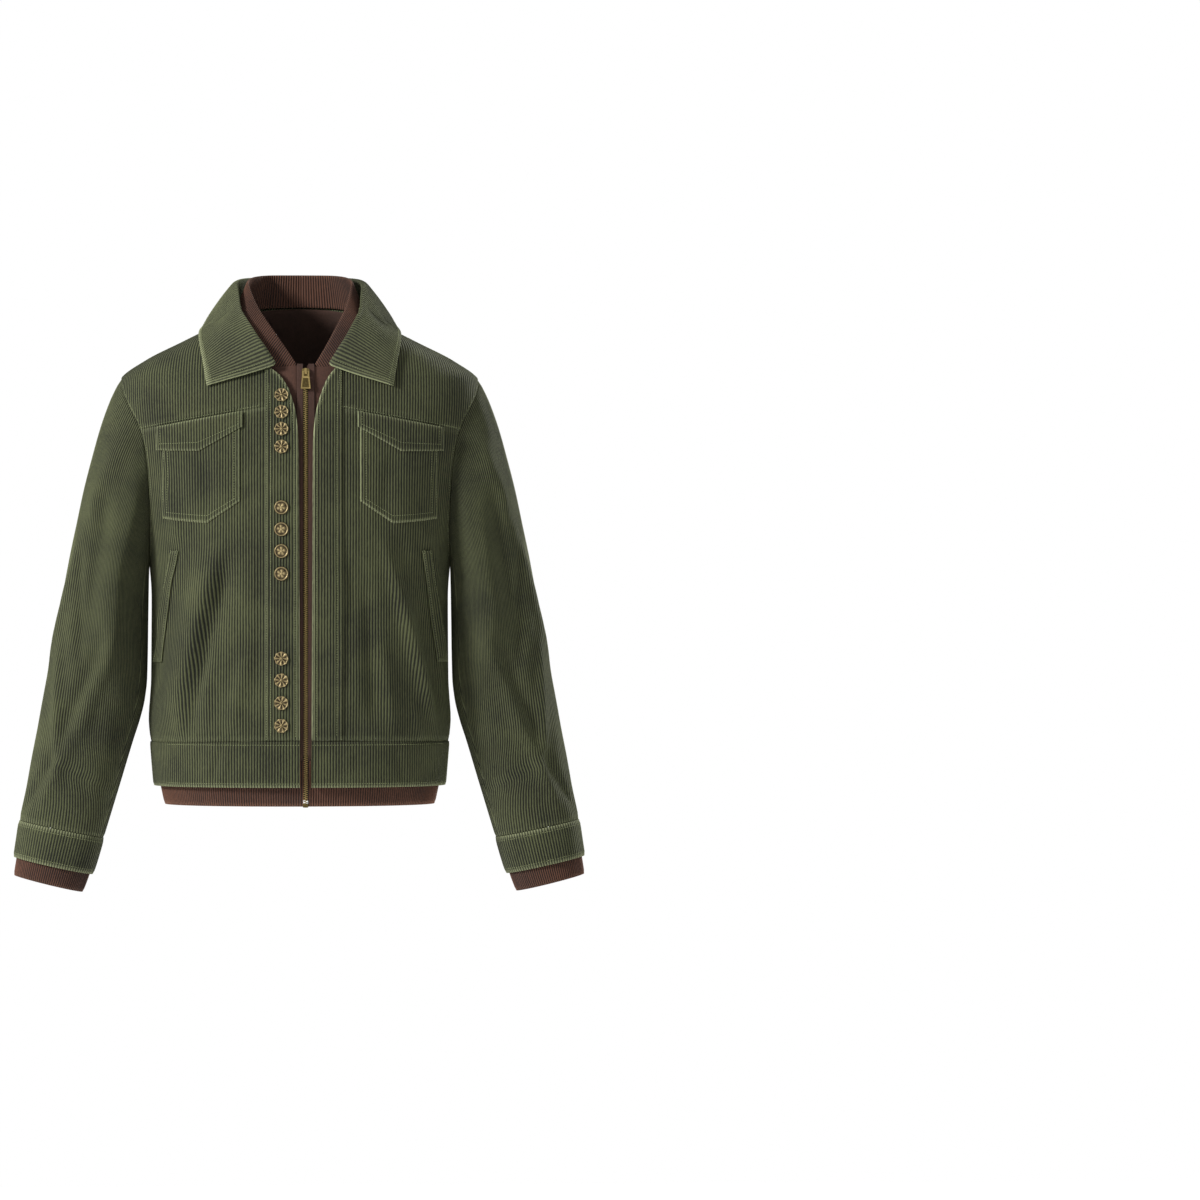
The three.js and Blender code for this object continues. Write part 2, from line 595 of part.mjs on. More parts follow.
for (const side of [-1, 1]) {
  const label = side < 0 ? 'right' : 'left';
  const columns = loopColumns(label);
  const count = columns.length;
  const backSeam = columns.findIndex((c) => c.face > 0 && c.angle > BACK_SEAM_ARMHOLE_ANGLE);
  const underSeam = 1;
  const endAngles = columns.map((column, j) => {
    const first = UNDER_SEAM_CUFF_ANGLE - 360;
    if (j >= underSeam && j <= backSeam) {
      return lerp(first, BACK_SEAM_CUFF_ANGLE, (j - underSeam) / (backSeam - underSeam));
    }
    const steps = j < underSeam ? j + count - backSeam : j - backSeam;
    const whole = count - backSeam + underSeam;
    return lerp(BACK_SEAM_CUFF_ANGLE, UNDER_SEAM_CUFF_ANGLE, steps / whole);
  });
  const grid = [];
  const middles = [];
  for (let i = 0; i <= SLEEVE_RINGS; i += 1) {
    const s = i / SLEEVE_RINGS;
    const outerZ = lerp(SHOULDER_TIP_Z, CUFF_SEAM.outerZ, s);
    const innerZ = lerp(UNDERARM_Z, CUFF_SEAM.innerZ, s);
    const stay = (1 - ramp(s / 0.3));
    const row = columns.map((column, j) => {
      const startAngle = column.angle > 179 && j === 0 ? -180 : column.angle;
      const swing = endAngles[j] - startAngle;
      const wrapped = swing > 180 ? swing - 360 : (swing < -180 ? swing + 360 : swing);
      const angle = startAngle + wrapped * s;
      const point = sleevePoint(side, angle, outerZ, innerZ, sleeveDepth(s), sleeveForward(s));
      const rest = sleevePoint(side, startAngle, SHOULDER_TIP_Z, UNDERARM_Z, sleeveDepth(0), 0);
      const edge = skin(column.place.x, column.place.z, column.face, 0);
      const normalFold = sleeveFold(angle > 180 ? angle - 360 : angle, s);
      point.y += Math.sin((angle * Math.PI) / 180) * normalFold;
      point.x += side * Math.max(Math.cos((angle * Math.PI) / 180), 0) * normalFold;
      return point.add(edge.sub(rest).multiplyScalar(stay));
    });
    grid.push(row);
    middles.push(row.reduce((sum, p) => sum.add(p), new THREE.Vector3()).divideScalar(count));
  }
  // the first ring stands a seam gap away from the armhole edge
  grid[0] = grid[0].map((p, j) => p.clone().lerp(grid[1][j], 0.45 / p.distanceTo(grid[1][j])));
  const normals = ringNormals(grid, middles);
  const inside = grid.map((row, i) => row.map(
    (p, j) => p.clone().addScaledVector(normals[i][j], -CLOTH)));
  const slice = (source, from, to) => trimEdges(source.map((row) => {
    const part = [];
    for (let j = from; j <= to; j += 1) part.push(row[j % count]);
    return part;
  }));
  addPiece(`sleeve_top_${label}`, closedWall(
    slice(grid, underSeam, backSeam), slice(inside, underSeam, backSeam)), corduroy);
  addPiece(`sleeve_under_${label}`, closedWall(
    slice(grid, backSeam, count + underSeam), slice(inside, backSeam, count + underSeam)), corduroy);

  // Cuff, open at the back seam, and the brown rib inside it
  const cuffRing = (from, to, steps, offset, open) => {
    const rows = [];
    const sides = 26;
    for (let i = 0; i <= steps; i += 1) {
      const f = i / steps;
      const outerZ = lerp(from.outerZ, to.outerZ, f);
      const innerZ = lerp(from.innerZ, to.innerZ, f);
      const s = 1 + (CUFF_SEAM.outerZ - outerZ) / (SHOULDER_TIP_Z - CUFF_SEAM.outerZ);
      const tilt = Math.atan2(outerZ - innerZ, sleeveOuterX(outerZ) - sleeveInnerX(innerZ));
      const row = [];
      const total = open ? sides + 1 : sides;
      for (let j = 0; j < total; j += 1) {
        const angle = BACK_SEAM_CUFF_ANGLE + (open ? lerp(1.2, 358.8, j / sides) : (360 * j) / sides);
        const turn = (angle * Math.PI) / 180;
        const point = sleevePoint(side, angle, outerZ, innerZ, sleeveDepth(s), sleeveForward(s));
        point.x += side * Math.cos(turn) * Math.cos(tilt) * offset;
        point.z += Math.cos(turn) * Math.sin(tilt) * offset;
        point.y += Math.sin(turn) * offset;
        row.push(point);
      }
      rows.push(row);
    }
    return rows;
  };
  const below = { outerZ: CUFF_SEAM.outerZ - 0.4, innerZ: CUFF_SEAM.innerZ - 0.4 };
  addPiece(`cuff_${label}`, closedWall(
    cuffRing(below, CUFF_END, 3, 1, true), cuffRing(below, CUFF_END, 3, -2.4, true)), corduroy);
  const ribStart = { outerZ: CUFF_END.outerZ + 22, innerZ: CUFF_END.innerZ + 22 };
  addPiece(`rib_cuff_${label}`, closedWall(
    cuffRing(ribStart, RIB_CUFF_END, 3, -3.1, false),
    cuffRing(ribStart, RIB_CUFF_END, 3, -5.5, false), true), rib);
}

// A collar swept along the neck: profile(station) gives the points across it
function sweptCollar(name, profile, thickness, material, steps = 11) {
  const grid = [];
  for (let i = -steps; i <= steps; i += 1) grid.push(profile(Math.abs(i) / steps, Math.sign(i) || 1));
  const columns = grid[0].length;
  const last = grid.length - 1;
  const shift = (amount) => grid.map((row, i) => row.map((p, j) => {
    const along = grid[Math.min(i + 1, last)][j].clone().sub(grid[Math.max(i - 1, 0)][j]);
    const across = row[Math.min(j + 1, columns - 1)].clone().sub(row[Math.max(j - 1, 0)]);
    return p.clone().addScaledVector(along.cross(across).normalize(), amount);
  }));
  return addPiece(name, closedWall(shift(thickness / 2), shift(-thickness / 2)), material);
}

const collarTable = Object.fromEntries(['nx', 'ny', 'nz', 'fx', 'fy', 'fz', 'ex', 'ey', 'ez'].map(
  (column) => [column, through(COLLAR, 't', column)]));
const station = (table, prefix, t, side, centre) => new THREE.Vector3(
  side * table[`${prefix}x`](t) + centre, table[`${prefix}y`](t), table[`${prefix}z`](t));

// Moves a point out until it is clear of the body's skin
function clearOfSkin(point, clearance) {
  const face = point.y < 0 ? -1 : 1;
  const z = point.z;
  const depthAt = face < 0 ? bodyFront : bodyBack;
  const share = (x, y, level) => Math.pow(Math.abs(x) / bodyWidth(level), ROUNDNESS)
    + Math.pow(Math.abs(y) / depthAt(level), ROUNDNESS) - 1;
  const value = share(point.x, point.y, z);
  const step = 0.5;
  const slope = new THREE.Vector3(
    share(point.x + step, point.y, z) - share(point.x - step, point.y, z),
    share(point.x, point.y + step, z) - share(point.x, point.y - step, z),
    share(point.x, point.y, z + step) - share(point.x, point.y, z - step));
  const distance = (value * 2 * step) / slope.length();
  if (distance < clearance) {
    point.addScaledVector(slope.normalize(), clearance - distance);
  }
  return point;
}
const COLLAR_CLEARANCE = 4.6;

function collarProfile(t, side) {
  const centre = 3 * ramp((t - 0.6) / 0.4);
  const seam = station(collarTable, 'n', t, side, centre);
  const fold = station(collarTable, 'f', t, side, centre);
  const edge = station(collarTable, 'e', t, side, 0);
  const up = fold.clone().sub(seam).normalize();
  const down = edge.clone().sub(fold).normalize();
  const out = up.clone().add(down);
  out.addScaledVector(up, -0.5 * out.dot(up)).normalize();
  const rounded = (base, alongUp, alongOut) => base.clone()
    .addScaledVector(up, alongUp).addScaledVector(out, alongOut);
  const start = rounded(seam, 3, -0.9);
  const fallTop = rounded(fold, 0, 5.6).addScaledVector(down, 5);
  const lift = (point) => clearOfSkin(clearOfSkin(point, COLLAR_CLEARANCE), COLLAR_CLEARANCE);
  return [
    start,
    start.clone().lerp(fold, 0.5),
    rounded(fold, -5, 0),
    rounded(fold, -1.2, 0.5),
    rounded(fold, 0.4, 2.6),
    rounded(fold, -0.6, 4.9),
    fallTop,
    lift(fallTop.clone().lerp(edge, 0.33).addScaledVector(out, 1.2)),
    lift(fallTop.clone().lerp(edge, 0.67).addScaledVector(out, 1)),
    lift(edge.clone()),
  ];
}
sweptCollar('collar', collarProfile, COLLAR_THICKNESS, corduroy);

const innerTable = Object.fromEntries(['sx', 'sy', 'sz', 'ex', 'ey', 'ez'].map(
  (column) => [column, through(INNER_COLLAR, 't', column)]));
function innerProfile(t, side) {
  const centre = OPENING_X * ramp((t - 0.55) / 0.45);
  const seam = station(innerTable, 's', t, side, centre);
  const edge = station(innerTable, 'e', t, side, centre);
  const bow = 2.5;
  return [0, 0.25, 0.5, 0.75, 1].map((f) => {
    const p = seam.clone().lerp(edge, f);
    return p.add(new THREE.Vector3(0, 0, bow * Math.sin(Math.PI * f) * 0.3));
  });
}
sweptCollar('inner_collar', innerProfile, INNER_COLLAR_THICKNESS, rib);

// Plackets, chest pockets, flaps and side welts, moved out from the fronts' own places
const PLACKET_LIFT = 0.8;
const PLACKET_OUT = 2.5;
function stripPlaces(fromX, toX, columns, lowZ, highZ, rows) {
  return Array.from({ length: rows + 1 }, (_, i) => {
    const v = i / rows;
    return Array.from({ length: columns + 1 }, (_unused, j) => {
      const z = lerp(lowZ, highZ, v);
      return { x: lerp(fromX(z), toX(z), j / columns), z };
    });
  });
}
for (const side of [-1, 1]) {
  const label = side < 0 ? 'right' : 'left';
  const width = side < 0 ? PLACKET_RIGHT_WIDTH : PLACKET_LEFT_WIDTH;
  const edge = (z) => frontEdgeX(side, z);
  const seam = (z) => Math.max(side * (OPENING_X + side * (7.5 + width)), side * edge(z) + 5) * side;
  const strip = stripPlaces(edge, seam, 3, bandSeamZ(20, -1) + 1, -61, 16);
  bodyPiece(`placket_${label}`, strip, -1, PLACKET_OUT, PLACKET_LIFT, corduroy);

  const pocket = [0, 0.25, 0.5, 0.75, 1].map((v) => POCKET_COLUMNS.map(
    (c) => ({ x: side * c.x, z: lerp(c.low, c.high, v) })));
  bodyPiece(`chest_pocket_${label}`, pocket, -1, 2.3, 0.8, corduroy);
  const flap = [0, 0.33, 0.67, 1].map((v) => FLAP_COLUMNS.map(
    (c) => ({ x: side * c.x, z: lerp(c.low, seamZ(YOKE_SEAM_FRONT, c.x) - 1, v) })));
  bodyPiece(`pocket_flap_${label}`, flap, -1, 4.4, 2.7, corduroy);
  const middle = (z) => side * lerp(177, 155, (z + 430) / 139);
  const welt = stripPlaces((z) => middle(z) - side * 5, (z) => middle(z) + side * 5, 2, -430, -291, 10);
  const weltLift = side < 0 ? 1.8 : 2.6; // clear of the fold that it crosses
  bodyPiece(`side_welt_${label}`, welt, -1, weltLift + 1.6, weltLift, corduroy);
}

// Zip: tapes, chain, bottom box
const TAPE_TOP_Z = -57;
for (const side of [-1, 1]) {
  const label = side < 0 ? 'right' : 'left';
  const near = () => OPENING_X + side * 3.2;
  const far = () => OPENING_X + side * 11;
  const places = stripPlaces(near, far, 2, RIB_TOP_Z, TAPE_TOP_Z, 14);
  bodyPiece(`zip_tape_${label}`, places, -1,
    (p) => (p.z < -500 ? -3.7 : -3), (p) => (p.z < -500 ? -4.7 : -4), rib, false);
}
const CHAIN_TOP_Z = -76;
const chainX = (shift) => () => OPENING_X + shift;
bodyPiece('zip_chain', stripPlaces(chainX(-2.7), chainX(2.7), 2, RIB_HEM_Z + 6, CHAIN_TOP_Z, 14), -1,
  (p) => (p.z < RIB_TOP_Z ? ribInset(p.z) + 1.6 : -3.2),
  (p) => (p.z < RIB_TOP_Z ? ribInset(p.z) - 0.8 : -5.8), brass, false);

// A group that lies on the front skin, its own x along +X, y up the skin and z outwards
function seatOnFront(x, z, offset) {
  const seat = new THREE.Group();
  const origin = skin(x, z, -1, offset, false);
  const above = skin(x, z + 4, -1, offset, false);
  const normal = skin(x, z, -1, offset + 10, false).sub(origin).normalize();
  const up = above.sub(origin).normalize();
  const right = new THREE.Vector3().crossVectors(up, normal).normalize();
  const trueUp = new THREE.Vector3().crossVectors(normal, right);
  seat.position.copy(origin);
  seat.quaternion.setFromRotationMatrix(new THREE.Matrix4().makeBasis(right, trueUp, normal));
  jacket.add(seat);
  return seat;
}
const boxSeat = seatOnFront(OPENING_X, RIB_HEM_Z + 1.5, ribInset(RIB_HEM_Z));
addPiece('zip_box', new THREE.BoxGeometry(6, 5, 3.4), brass, boxSeat);

// Slider with its arch, one solid profile drawn from the side and a wider base under it
const SLIDER_Z = -69;
const sliderSeat = seatOnFront(OPENING_X, SLIDER_Z, -1.9);
const PULL_AXIS_HEIGHT = 3.2;
const arch = new THREE.Shape();
arch.moveTo(-5.5, -1.4);
arch.lineTo(5.5, -1.4);
arch.lineTo(5.5, 1.2);
arch.lineTo(4.6, 1.2);
arch.lineTo(4.6, 3.6);
arch.lineTo(3, 5.6);
arch.lineTo(-3, 5.6);
arch.lineTo(-4.6, 3.6);
arch.lineTo(-4.6, 1.2);
arch.lineTo(-5.5, 1.2);
arch.closePath();
const archHole = new THREE.Path();
archHole.moveTo(-3.2, 1.4);
archHole.lineTo(3.2, 1.4);
archHole.lineTo(3.2, 3.4);
archHole.lineTo(2.3, 4.5);
archHole.lineTo(-2.3, 4.5);
archHole.lineTo(-3.2, 3.4);
archHole.closePath();
arch.holes.push(archHole);
const sliderSide = new THREE.ExtrudeGeometry(arch, { depth: 3.2, bevelEnabled: false });
sliderSide.translate(0, 0, -1.6);
sliderSide.applyMatrix4(new THREE.Matrix4().makeBasis(
  new THREE.Vector3(0, -1, 0), new THREE.Vector3(0, 0, 1), new THREE.Vector3(-1, 0, 0)));
addPiece('zip_slider', sliderSide, brass, sliderSeat);
for (const side of [-1, 1]) {
  const wing = new THREE.BoxGeometry(3.2, 9, 2);
  wing.translate(side * (1.6 + SEAM + 1.6), 0, 0.4);
  addPiece(`zip_slider_wing_${side < 0 ? 'right' : 'left'}`, wing, brass, sliderSeat);
}

// Pull tab: a bar through the arch, two arms beside it and a tapered plate with a window
const pull = new THREE.Shape();
pull.moveTo(-4.2, 0.7);
pull.lineTo(4.2, 0.7);
pull.lineTo(4.6, -6);
pull.lineTo(6.3, -24);
pull.lineTo(-6.3, -24);
pull.lineTo(-4.6, -6);
pull.closePath();
const slot = new THREE.Path();
slot.moveTo(-2.3, -0.6);
slot.lineTo(-2.3, -6.2);
slot.lineTo(2.3, -6.2);
slot.lineTo(2.3, -0.6);
slot.closePath();
pull.holes.push(slot);
const pullSolid = new THREE.ExtrudeGeometry(pull, { depth: 1.6, bevelEnabled: false });
pullSolid.translate(0, 0, PULL_AXIS_HEIGHT - 0.8);
addPiece('zip_pull', pullSolid, brass, sliderSeat);

// Brass buttons: a domed disc with a raised rim, or one with a scalloped edge
function buttonGeometry(scalloped) {
  const r = BUTTON_DIAMETER / 2;
  const profile = [[0, 0], [r * 0.92, 0], [r, 0.9], [r * 0.94, 1.9], [r * 0.72, 1.6], [0, 2.6]]
    .map(([x, y]) => new THREE.Vector2(x, y));
  const disc = new THREE.LatheGeometry(profile, 14);
  disc.rotateX(Math.PI / 2);
  if (scalloped) {
    const place = disc.getAttribute('position');
    for (let i = 0; i < place.count; i += 1) {
      const angle = Math.atan2(place.getY(i), place.getX(i));
      const pinch = 0.94 + 0.06 * Math.cos(7 * angle);
      place.setXY(i, place.getX(i) * pinch, place.getY(i) * pinch);
    }
  }
  return disc;
}
BUTTON_HEIGHTS.forEach((z, i) => {
  const seat = seatOnFront(BUTTON_X, z, PLACKET_OUT + SEAM);
  const plain = i >= 4 && i < 8;
  addPiece(`button_${String(i + 1).padStart(2, '0')}`, buttonGeometry(!plain), brass, seat);
});

export default jacket;
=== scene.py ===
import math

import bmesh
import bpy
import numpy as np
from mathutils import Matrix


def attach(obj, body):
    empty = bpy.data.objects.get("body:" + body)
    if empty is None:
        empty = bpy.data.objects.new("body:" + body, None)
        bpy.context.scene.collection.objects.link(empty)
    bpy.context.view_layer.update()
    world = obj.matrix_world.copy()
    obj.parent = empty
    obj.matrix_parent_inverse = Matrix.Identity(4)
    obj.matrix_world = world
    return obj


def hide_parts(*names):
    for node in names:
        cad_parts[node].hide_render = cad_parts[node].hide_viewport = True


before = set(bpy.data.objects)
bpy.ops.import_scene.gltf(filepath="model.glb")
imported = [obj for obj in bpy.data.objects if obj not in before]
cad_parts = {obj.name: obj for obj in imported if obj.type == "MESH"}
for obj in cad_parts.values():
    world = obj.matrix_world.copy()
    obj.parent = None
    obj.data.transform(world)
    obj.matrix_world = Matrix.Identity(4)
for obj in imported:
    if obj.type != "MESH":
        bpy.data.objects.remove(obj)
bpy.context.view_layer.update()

# %% [markdown]
# # A corduroy jacket with a brown rib-knit inner front
# The jacket hangs as it is worn, with nobody in it. Its cut pieces are thin cloth walls on one
# body form, so every piece here is a grid of points on that form, moved out by its wales and
# folds. Sizes are in millimetres until a mesh is made, and the frame is in metres.

MM = 0.001
print("nodes", len(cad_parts))

# %% [markdown]
# The camera stands straight in front, far away with a long lens, as for a catalogue picture.
# The photograph keeps the jacket in its left half, so the camera is turned a little to the
# right rather than shifted, and the other views stay centred.

# %% Camera and light
FRAME_WIDTH = 1.5
CAMERA_DISTANCE = 7.0
AIM = (0.375, -0.06, -0.3525)
CAMERA_X = -0.01


def aim_at(thing, target):
    offset = [target[k] - thing.location[k] for k in range(3)]
    flat = math.hypot(offset[0], offset[1])
    turn = math.atan2(-offset[0], offset[1])
    thing.rotation_euler = (math.pi / 2 + math.atan2(offset[2], flat), 0, turn)


camera = bpy.data.objects.new("camera", bpy.data.cameras.new("camera"))
bpy.context.collection.objects.link(camera)
camera.location = (CAMERA_X, AIM[1] - CAMERA_DISTANCE, AIM[2])
aim_at(camera, AIM)
camera.data.sensor_width = 36
camera.data.lens = 36 * CAMERA_DISTANCE / FRAME_WIDTH
bpy.context.scene.camera = camera
bpy.context.scene.view_settings.view_transform = "Standard"


def soft_box(name, place, target, size, power):
    lamp = bpy.data.lights.new(name, "AREA")
    lamp.shape = "DISK"
    lamp.size = size
    lamp.energy = power
    thing = bpy.data.objects.new(name, lamp)
    bpy.context.collection.objects.link(thing)
    thing.location = place
    aim_at(thing, target)


soft_box("key", (-3.6, -2.3, 1.5), (0, 0, -0.3), 1.0, 460)
soft_box("fill", (2.4, -2.6, 0.4), (0, 0, -0.3), 1.8, 3)
soft_box("behind", (2.9, 2.5, 1.3), (0, 0, -0.3), 1.0, 260)

# %% [markdown]
# Each colour is read off the cloth as an sRGB hex value and turned to linear by one function.
# A second function adds a shader node with its settings and links, so that each material reads
# as a short recipe.

# %% Colour and node helpers


def linear(hex_colour):
    parts = [int(hex_colour[k:k + 2], 16) / 255 for k in (1, 3, 5)]
    return tuple(p / 12.92 if p <= 0.04045 else ((p + 0.055) / 1.055) ** 2.4 for p in parts) + (1,)


def node(tree, kind, settings=None, values=None, links=None):
    made = tree.nodes.new(kind)
    for key, value in (settings or {}).items():
        setattr(made, key, value)
    for key, value in (values or {}).items():
        made.inputs[key].default_value = value
    for key, source in (links or {}).items():
        tree.links.new(source, made.inputs[key])
    return made


def new_material(name):
    material = bpy.data.materials.new(name)
    material.use_nodes = True
    tree = material.node_tree
    return material, tree, tree.nodes["Principled BSDF"]


def ramp_node(tree, source, stops):
    made = node(tree, "ShaderNodeValToRGB", links={"Fac": source})
    while len(made.color_ramp.elements) < len(stops):
        made.color_ramp.elements.new(0.5)
    for element, (place, colour) in zip(made.color_ramp.elements, stops):
        element.position = place
        element.color = linear(colour)
    return made


def math_node(tree, operation, *values):
    made = node(tree, "ShaderNodeMath", {"operation": operation})
    for k, value in enumerate(values):
        if isinstance(value, (int, float)):
            made.inputs[k].default_value = value
        else:
            tree.links.new(value, made.inputs[k])
    return made.outputs[0]


# %% [markdown]
# The room is pure white where the camera sees it, as the ground of the photograph is. It lights
# the cloth with less than that, so that the lamps' shadows stay deep enough to show the folds.

# %% Room
ROOM_LIGHT = 0.8
world = bpy.data.worlds.new("pale room")
bpy.context.scene.world = world
world.use_nodes = True
room = world.node_tree
seen = node(room, "ShaderNodeLightPath")
strength = math_node(room, "MULTIPLY_ADD", seen.outputs["Is Camera Ray"], 1 - ROOM_LIGHT,
                     ROOM_LIGHT)
background = room.nodes["Background"]
background.inputs["Color"].default_value = (1, 1, 1, 1)
room.links.new(strength, background.inputs["Strength"])

# %% [markdown]
# Corduroy is cut-pile cotton: rows of tufts, the wales, stand on a plain ground. The tops of
# the wales catch the light, and the grooves are painted dark, partly the ground's own colour and
# partly painted shade. The pile wears pale along seams and edges. The wales are true ridges in
# the mesh, and the colour follows the same measure across the cloth, kept in millimetres in the
# piece's UV map. The wear is an attribute of the mesh.

# %% Cloth materials
WALE_PITCH = 3.6
WALE_HEIGHT = 0.45


def ribbed_cloth(name, pitch, groove, top, worn, sheen_tint, bump, sheen):
    """Rows of tufts across the UV map, uneven in tone and paler where the wear is high."""
    material, tree, shader = new_material(name)
    uv = node(tree, "ShaderNodeUVMap", {"uv_map": "cloth"})
    parts = node(tree, "ShaderNodeSeparateXYZ", links={"Vector": uv.outputs["UV"]})
    coords = node(tree, "ShaderNodeTexCoord")
    place = node(tree, "ShaderNodeMapping", values={"Scale": (1000, 1000, 1000)},
                 links={"Vector": coords.outputs["Object"]})
    wander = node(tree, "ShaderNodeTexNoise", {"noise_dimensions": "3D"},
                  {"Scale": 0.05, "Detail": 2.0}, {"Vector": place.outputs["Vector"]})
    stretch = node(tree, "ShaderNodeMapping", values={"Scale": (1, 1, 0.3)},
                   links={"Vector": place.outputs["Vector"]})
    tufts = node(tree, "ShaderNodeTexNoise", {"noise_dimensions": "3D"},
                 {"Scale": 0.55, "Detail": 3.0, "Roughness": 0.6},
                 {"Vector": stretch.outputs["Vector"]})
    patches = node(tree, "ShaderNodeTexNoise", {"noise_dimensions": "3D"},
                   {"Scale": 0.018, "Detail": 3.0}, {"Vector": place.outputs["Vector"]})
    phase = math_node(tree, "MULTIPLY", parts.outputs["X"], 2 * math.pi / pitch)
    swing = math_node(tree, "MULTIPLY", wander.outputs["Fac"], 0.9)
    wave = math_node(tree, "COSINE", math_node(tree, "ADD", phase, swing))
    ridge = math_node(tree, "MULTIPLY_ADD", wave, 0.5, 0.5)
    uneven = math_node(tree, "MULTIPLY", math_node(tree, "SUBTRACT", tufts.outputs["Fac"], 0.5), 0.9)
    blotch = math_node(tree, "MULTIPLY", math_node(tree, "SUBTRACT", patches.outputs["Fac"], 0.5), 0.8)
    height = math_node(tree, "ADD", ridge, uneven)
    tone = math_node(tree, "ADD", math_node(tree, "MULTIPLY", height, 0.75), blotch)
    # The groove colour is the ground's own colour darkened with painted shade; the top colour is the
    # pile's.
    colour = ramp_node(tree, tone, [(0.1, groove), (0.72, top)])
    wear = node(tree, "ShaderNodeAttribute", {"attribute_name": "wear"})
    rubbed = math_node(tree, "MULTIPLY", wear.outputs["Fac"],
                       math_node(tree, "MULTIPLY_ADD", height, 0.6, 0.15))
    mixed = node(tree, "ShaderNodeMix", {"data_type": "RGBA"},
                 links={"Factor": rubbed, "A": colour.outputs["Color"]})
    mixed.inputs["B"].default_value = linear(worn)
    tree.links.new(mixed.outputs["Result"], shader.inputs["Base Color"])
    lift = node(tree, "ShaderNodeBump", values={"Strength": bump, "Distance": 0.0006},
                links={"Height": height})
    tree.links.new(lift.outputs["Normal"], shader.inputs["Normal"])
    shader.inputs["Roughness"].default_value = 0.92
    shader.inputs["Specular IOR Level"].default_value = 0.25
    shader.inputs["Sheen Weight"].default_value = sheen
    shader.inputs["Sheen Roughness"].default_value = 0.45
    shader.inputs["Sheen Tint"].default_value = linear(sheen_tint)
    return material


corduroy = ribbed_cloth("cut-pile cotton corduroy, dyed", WALE_PITCH,
                        "#050602", "#383b24", "#74785a", "#989d70", 0.9, 0.16)
RIB_PITCH = 3.2
rib_knit = ribbed_cloth("cotton rib knit, brown", RIB_PITCH,
                        "#140a07", "#41281c", "#624434", "#8a6654", 0.6, 0.16)
INNER_PITCH = 1.2
# The inner back's brown cotton is painted darker, as the shade deep inside the neck.
neck_shaded_cloth = ribbed_cloth("plain cotton, brown, with painted neck shade", INNER_PITCH,
                           "#1c120d", "#38251d", "#46332a", "#5a4436", 0.2, 0.08)
front_cloth = ribbed_cloth("plain cotton, brown, inner front", INNER_PITCH,
                           "#1c100b", "#41291f", "#4c3328", "#6a4c3e", 0.2, 0.12)
TAPE_PITCH = 1.4
tape_cloth = ribbed_cloth("woven zip tape, brown", TAPE_PITCH,
                          "#1c110c", "#3c271f", "#4a3328", "#6a4c3e", 0.4, 0.08)

# %% [markdown]
# Antique brass is cast, darkened in a bath and polished back, so that its hollows stay brown
# and its high places shine. The height of the relief is kept in each mesh's wear attribute, and
# a fine noise is mixed with it. On the zip's pull and bottom box the lowest parts get a value
# below that, which paints them dark as shade.

# %% Metal


def antique_brass(name, dark, light, roughness):
    material, tree, shader = new_material(name)
    coords = node(tree, "ShaderNodeTexCoord")
    grain = node(tree, "ShaderNodeTexNoise", {"noise_dimensions": "3D"},
                 {"Scale": 420.0, "Detail": 4.0}, {"Vector": coords.outputs["Object"]})
    worn = node(tree, "ShaderNodeAttribute", {"attribute_name": "wear"})
    tone = math_node(tree, "ADD", math_node(tree, "MULTIPLY", worn.outputs["Fac"], 0.75),
                     math_node(tree, "MULTIPLY", grain.outputs["Fac"], 0.35))
    colour = ramp_node(tree, tone, [(0.1, dark), (0.85, light)])
    tree.links.new(colour.outputs["Color"], shader.inputs["Base Color"])
    lift = node(tree, "ShaderNodeBump", values={"Strength": 0.15, "Distance": 0.0002},
                links={"Height": grain.outputs["Fac"]})
    tree.links.new(lift.outputs["Normal"], shader.inputs["Normal"])
    shader.inputs["Metallic"].default_value = 0.85
    shader.inputs["Roughness"].default_value = roughness
    return material


button_brass = antique_brass("cast brass, antiqued", "#1d160d", "#7f7150", 0.45)
zip_brass = antique_brass("stamped brass, antiqued", "#33290f", "#8e7c4e", 0.38)
thread = ribbed_cloth("spun polyester thread, green", 0.5,
                      "#3a3f29", "#6a6f50", "#6a6f50", "#8a8f70", 0.2, 0.1)

# %% [markdown]
# The body form is the same as in the solids: rings whose half width and depth follow a table.
# A ring is a superellipse, which is a little squarer than an ellipse. Here the functions work
# on whole arrays, because a panel has thousands of points.

# %% The body form
BODY_RINGS = {
    "z": [-620, -577, -527, -502, -450, -350, -300, -254, -203, -134, -99, -75, -52, -27, -10, 5,
          18, 60],
    "width": [181, 183, 187, 189, 186, 185.5, 189, 197, 206, 224, 230, 224, 194, 145, 112, 88,
              83, 80],
    "front": [123, 124, 127, 127, 126, 124, 123, 122, 119, 109, 100, 91, 81, 72, 67, 64, 62, 60],
    "back": [117, 118, 121, 121, 119, 117, 117, 118, 118, 115, 110, 105, 97, 88, 82, 76, 70, 66],
}
ROUNDNESS = 2.2
OPENING_X = 7
SHOULDER_TIP_Z = -75
UNDERARM_Z = -300
NECK_SIDE_Z = 5
BAND_SEAM_Z = -527
BAND_HEM_Z = -585
RIB_TOP_Z = -552
RIB_HEM_Z = -609
CLOTH = 1.6


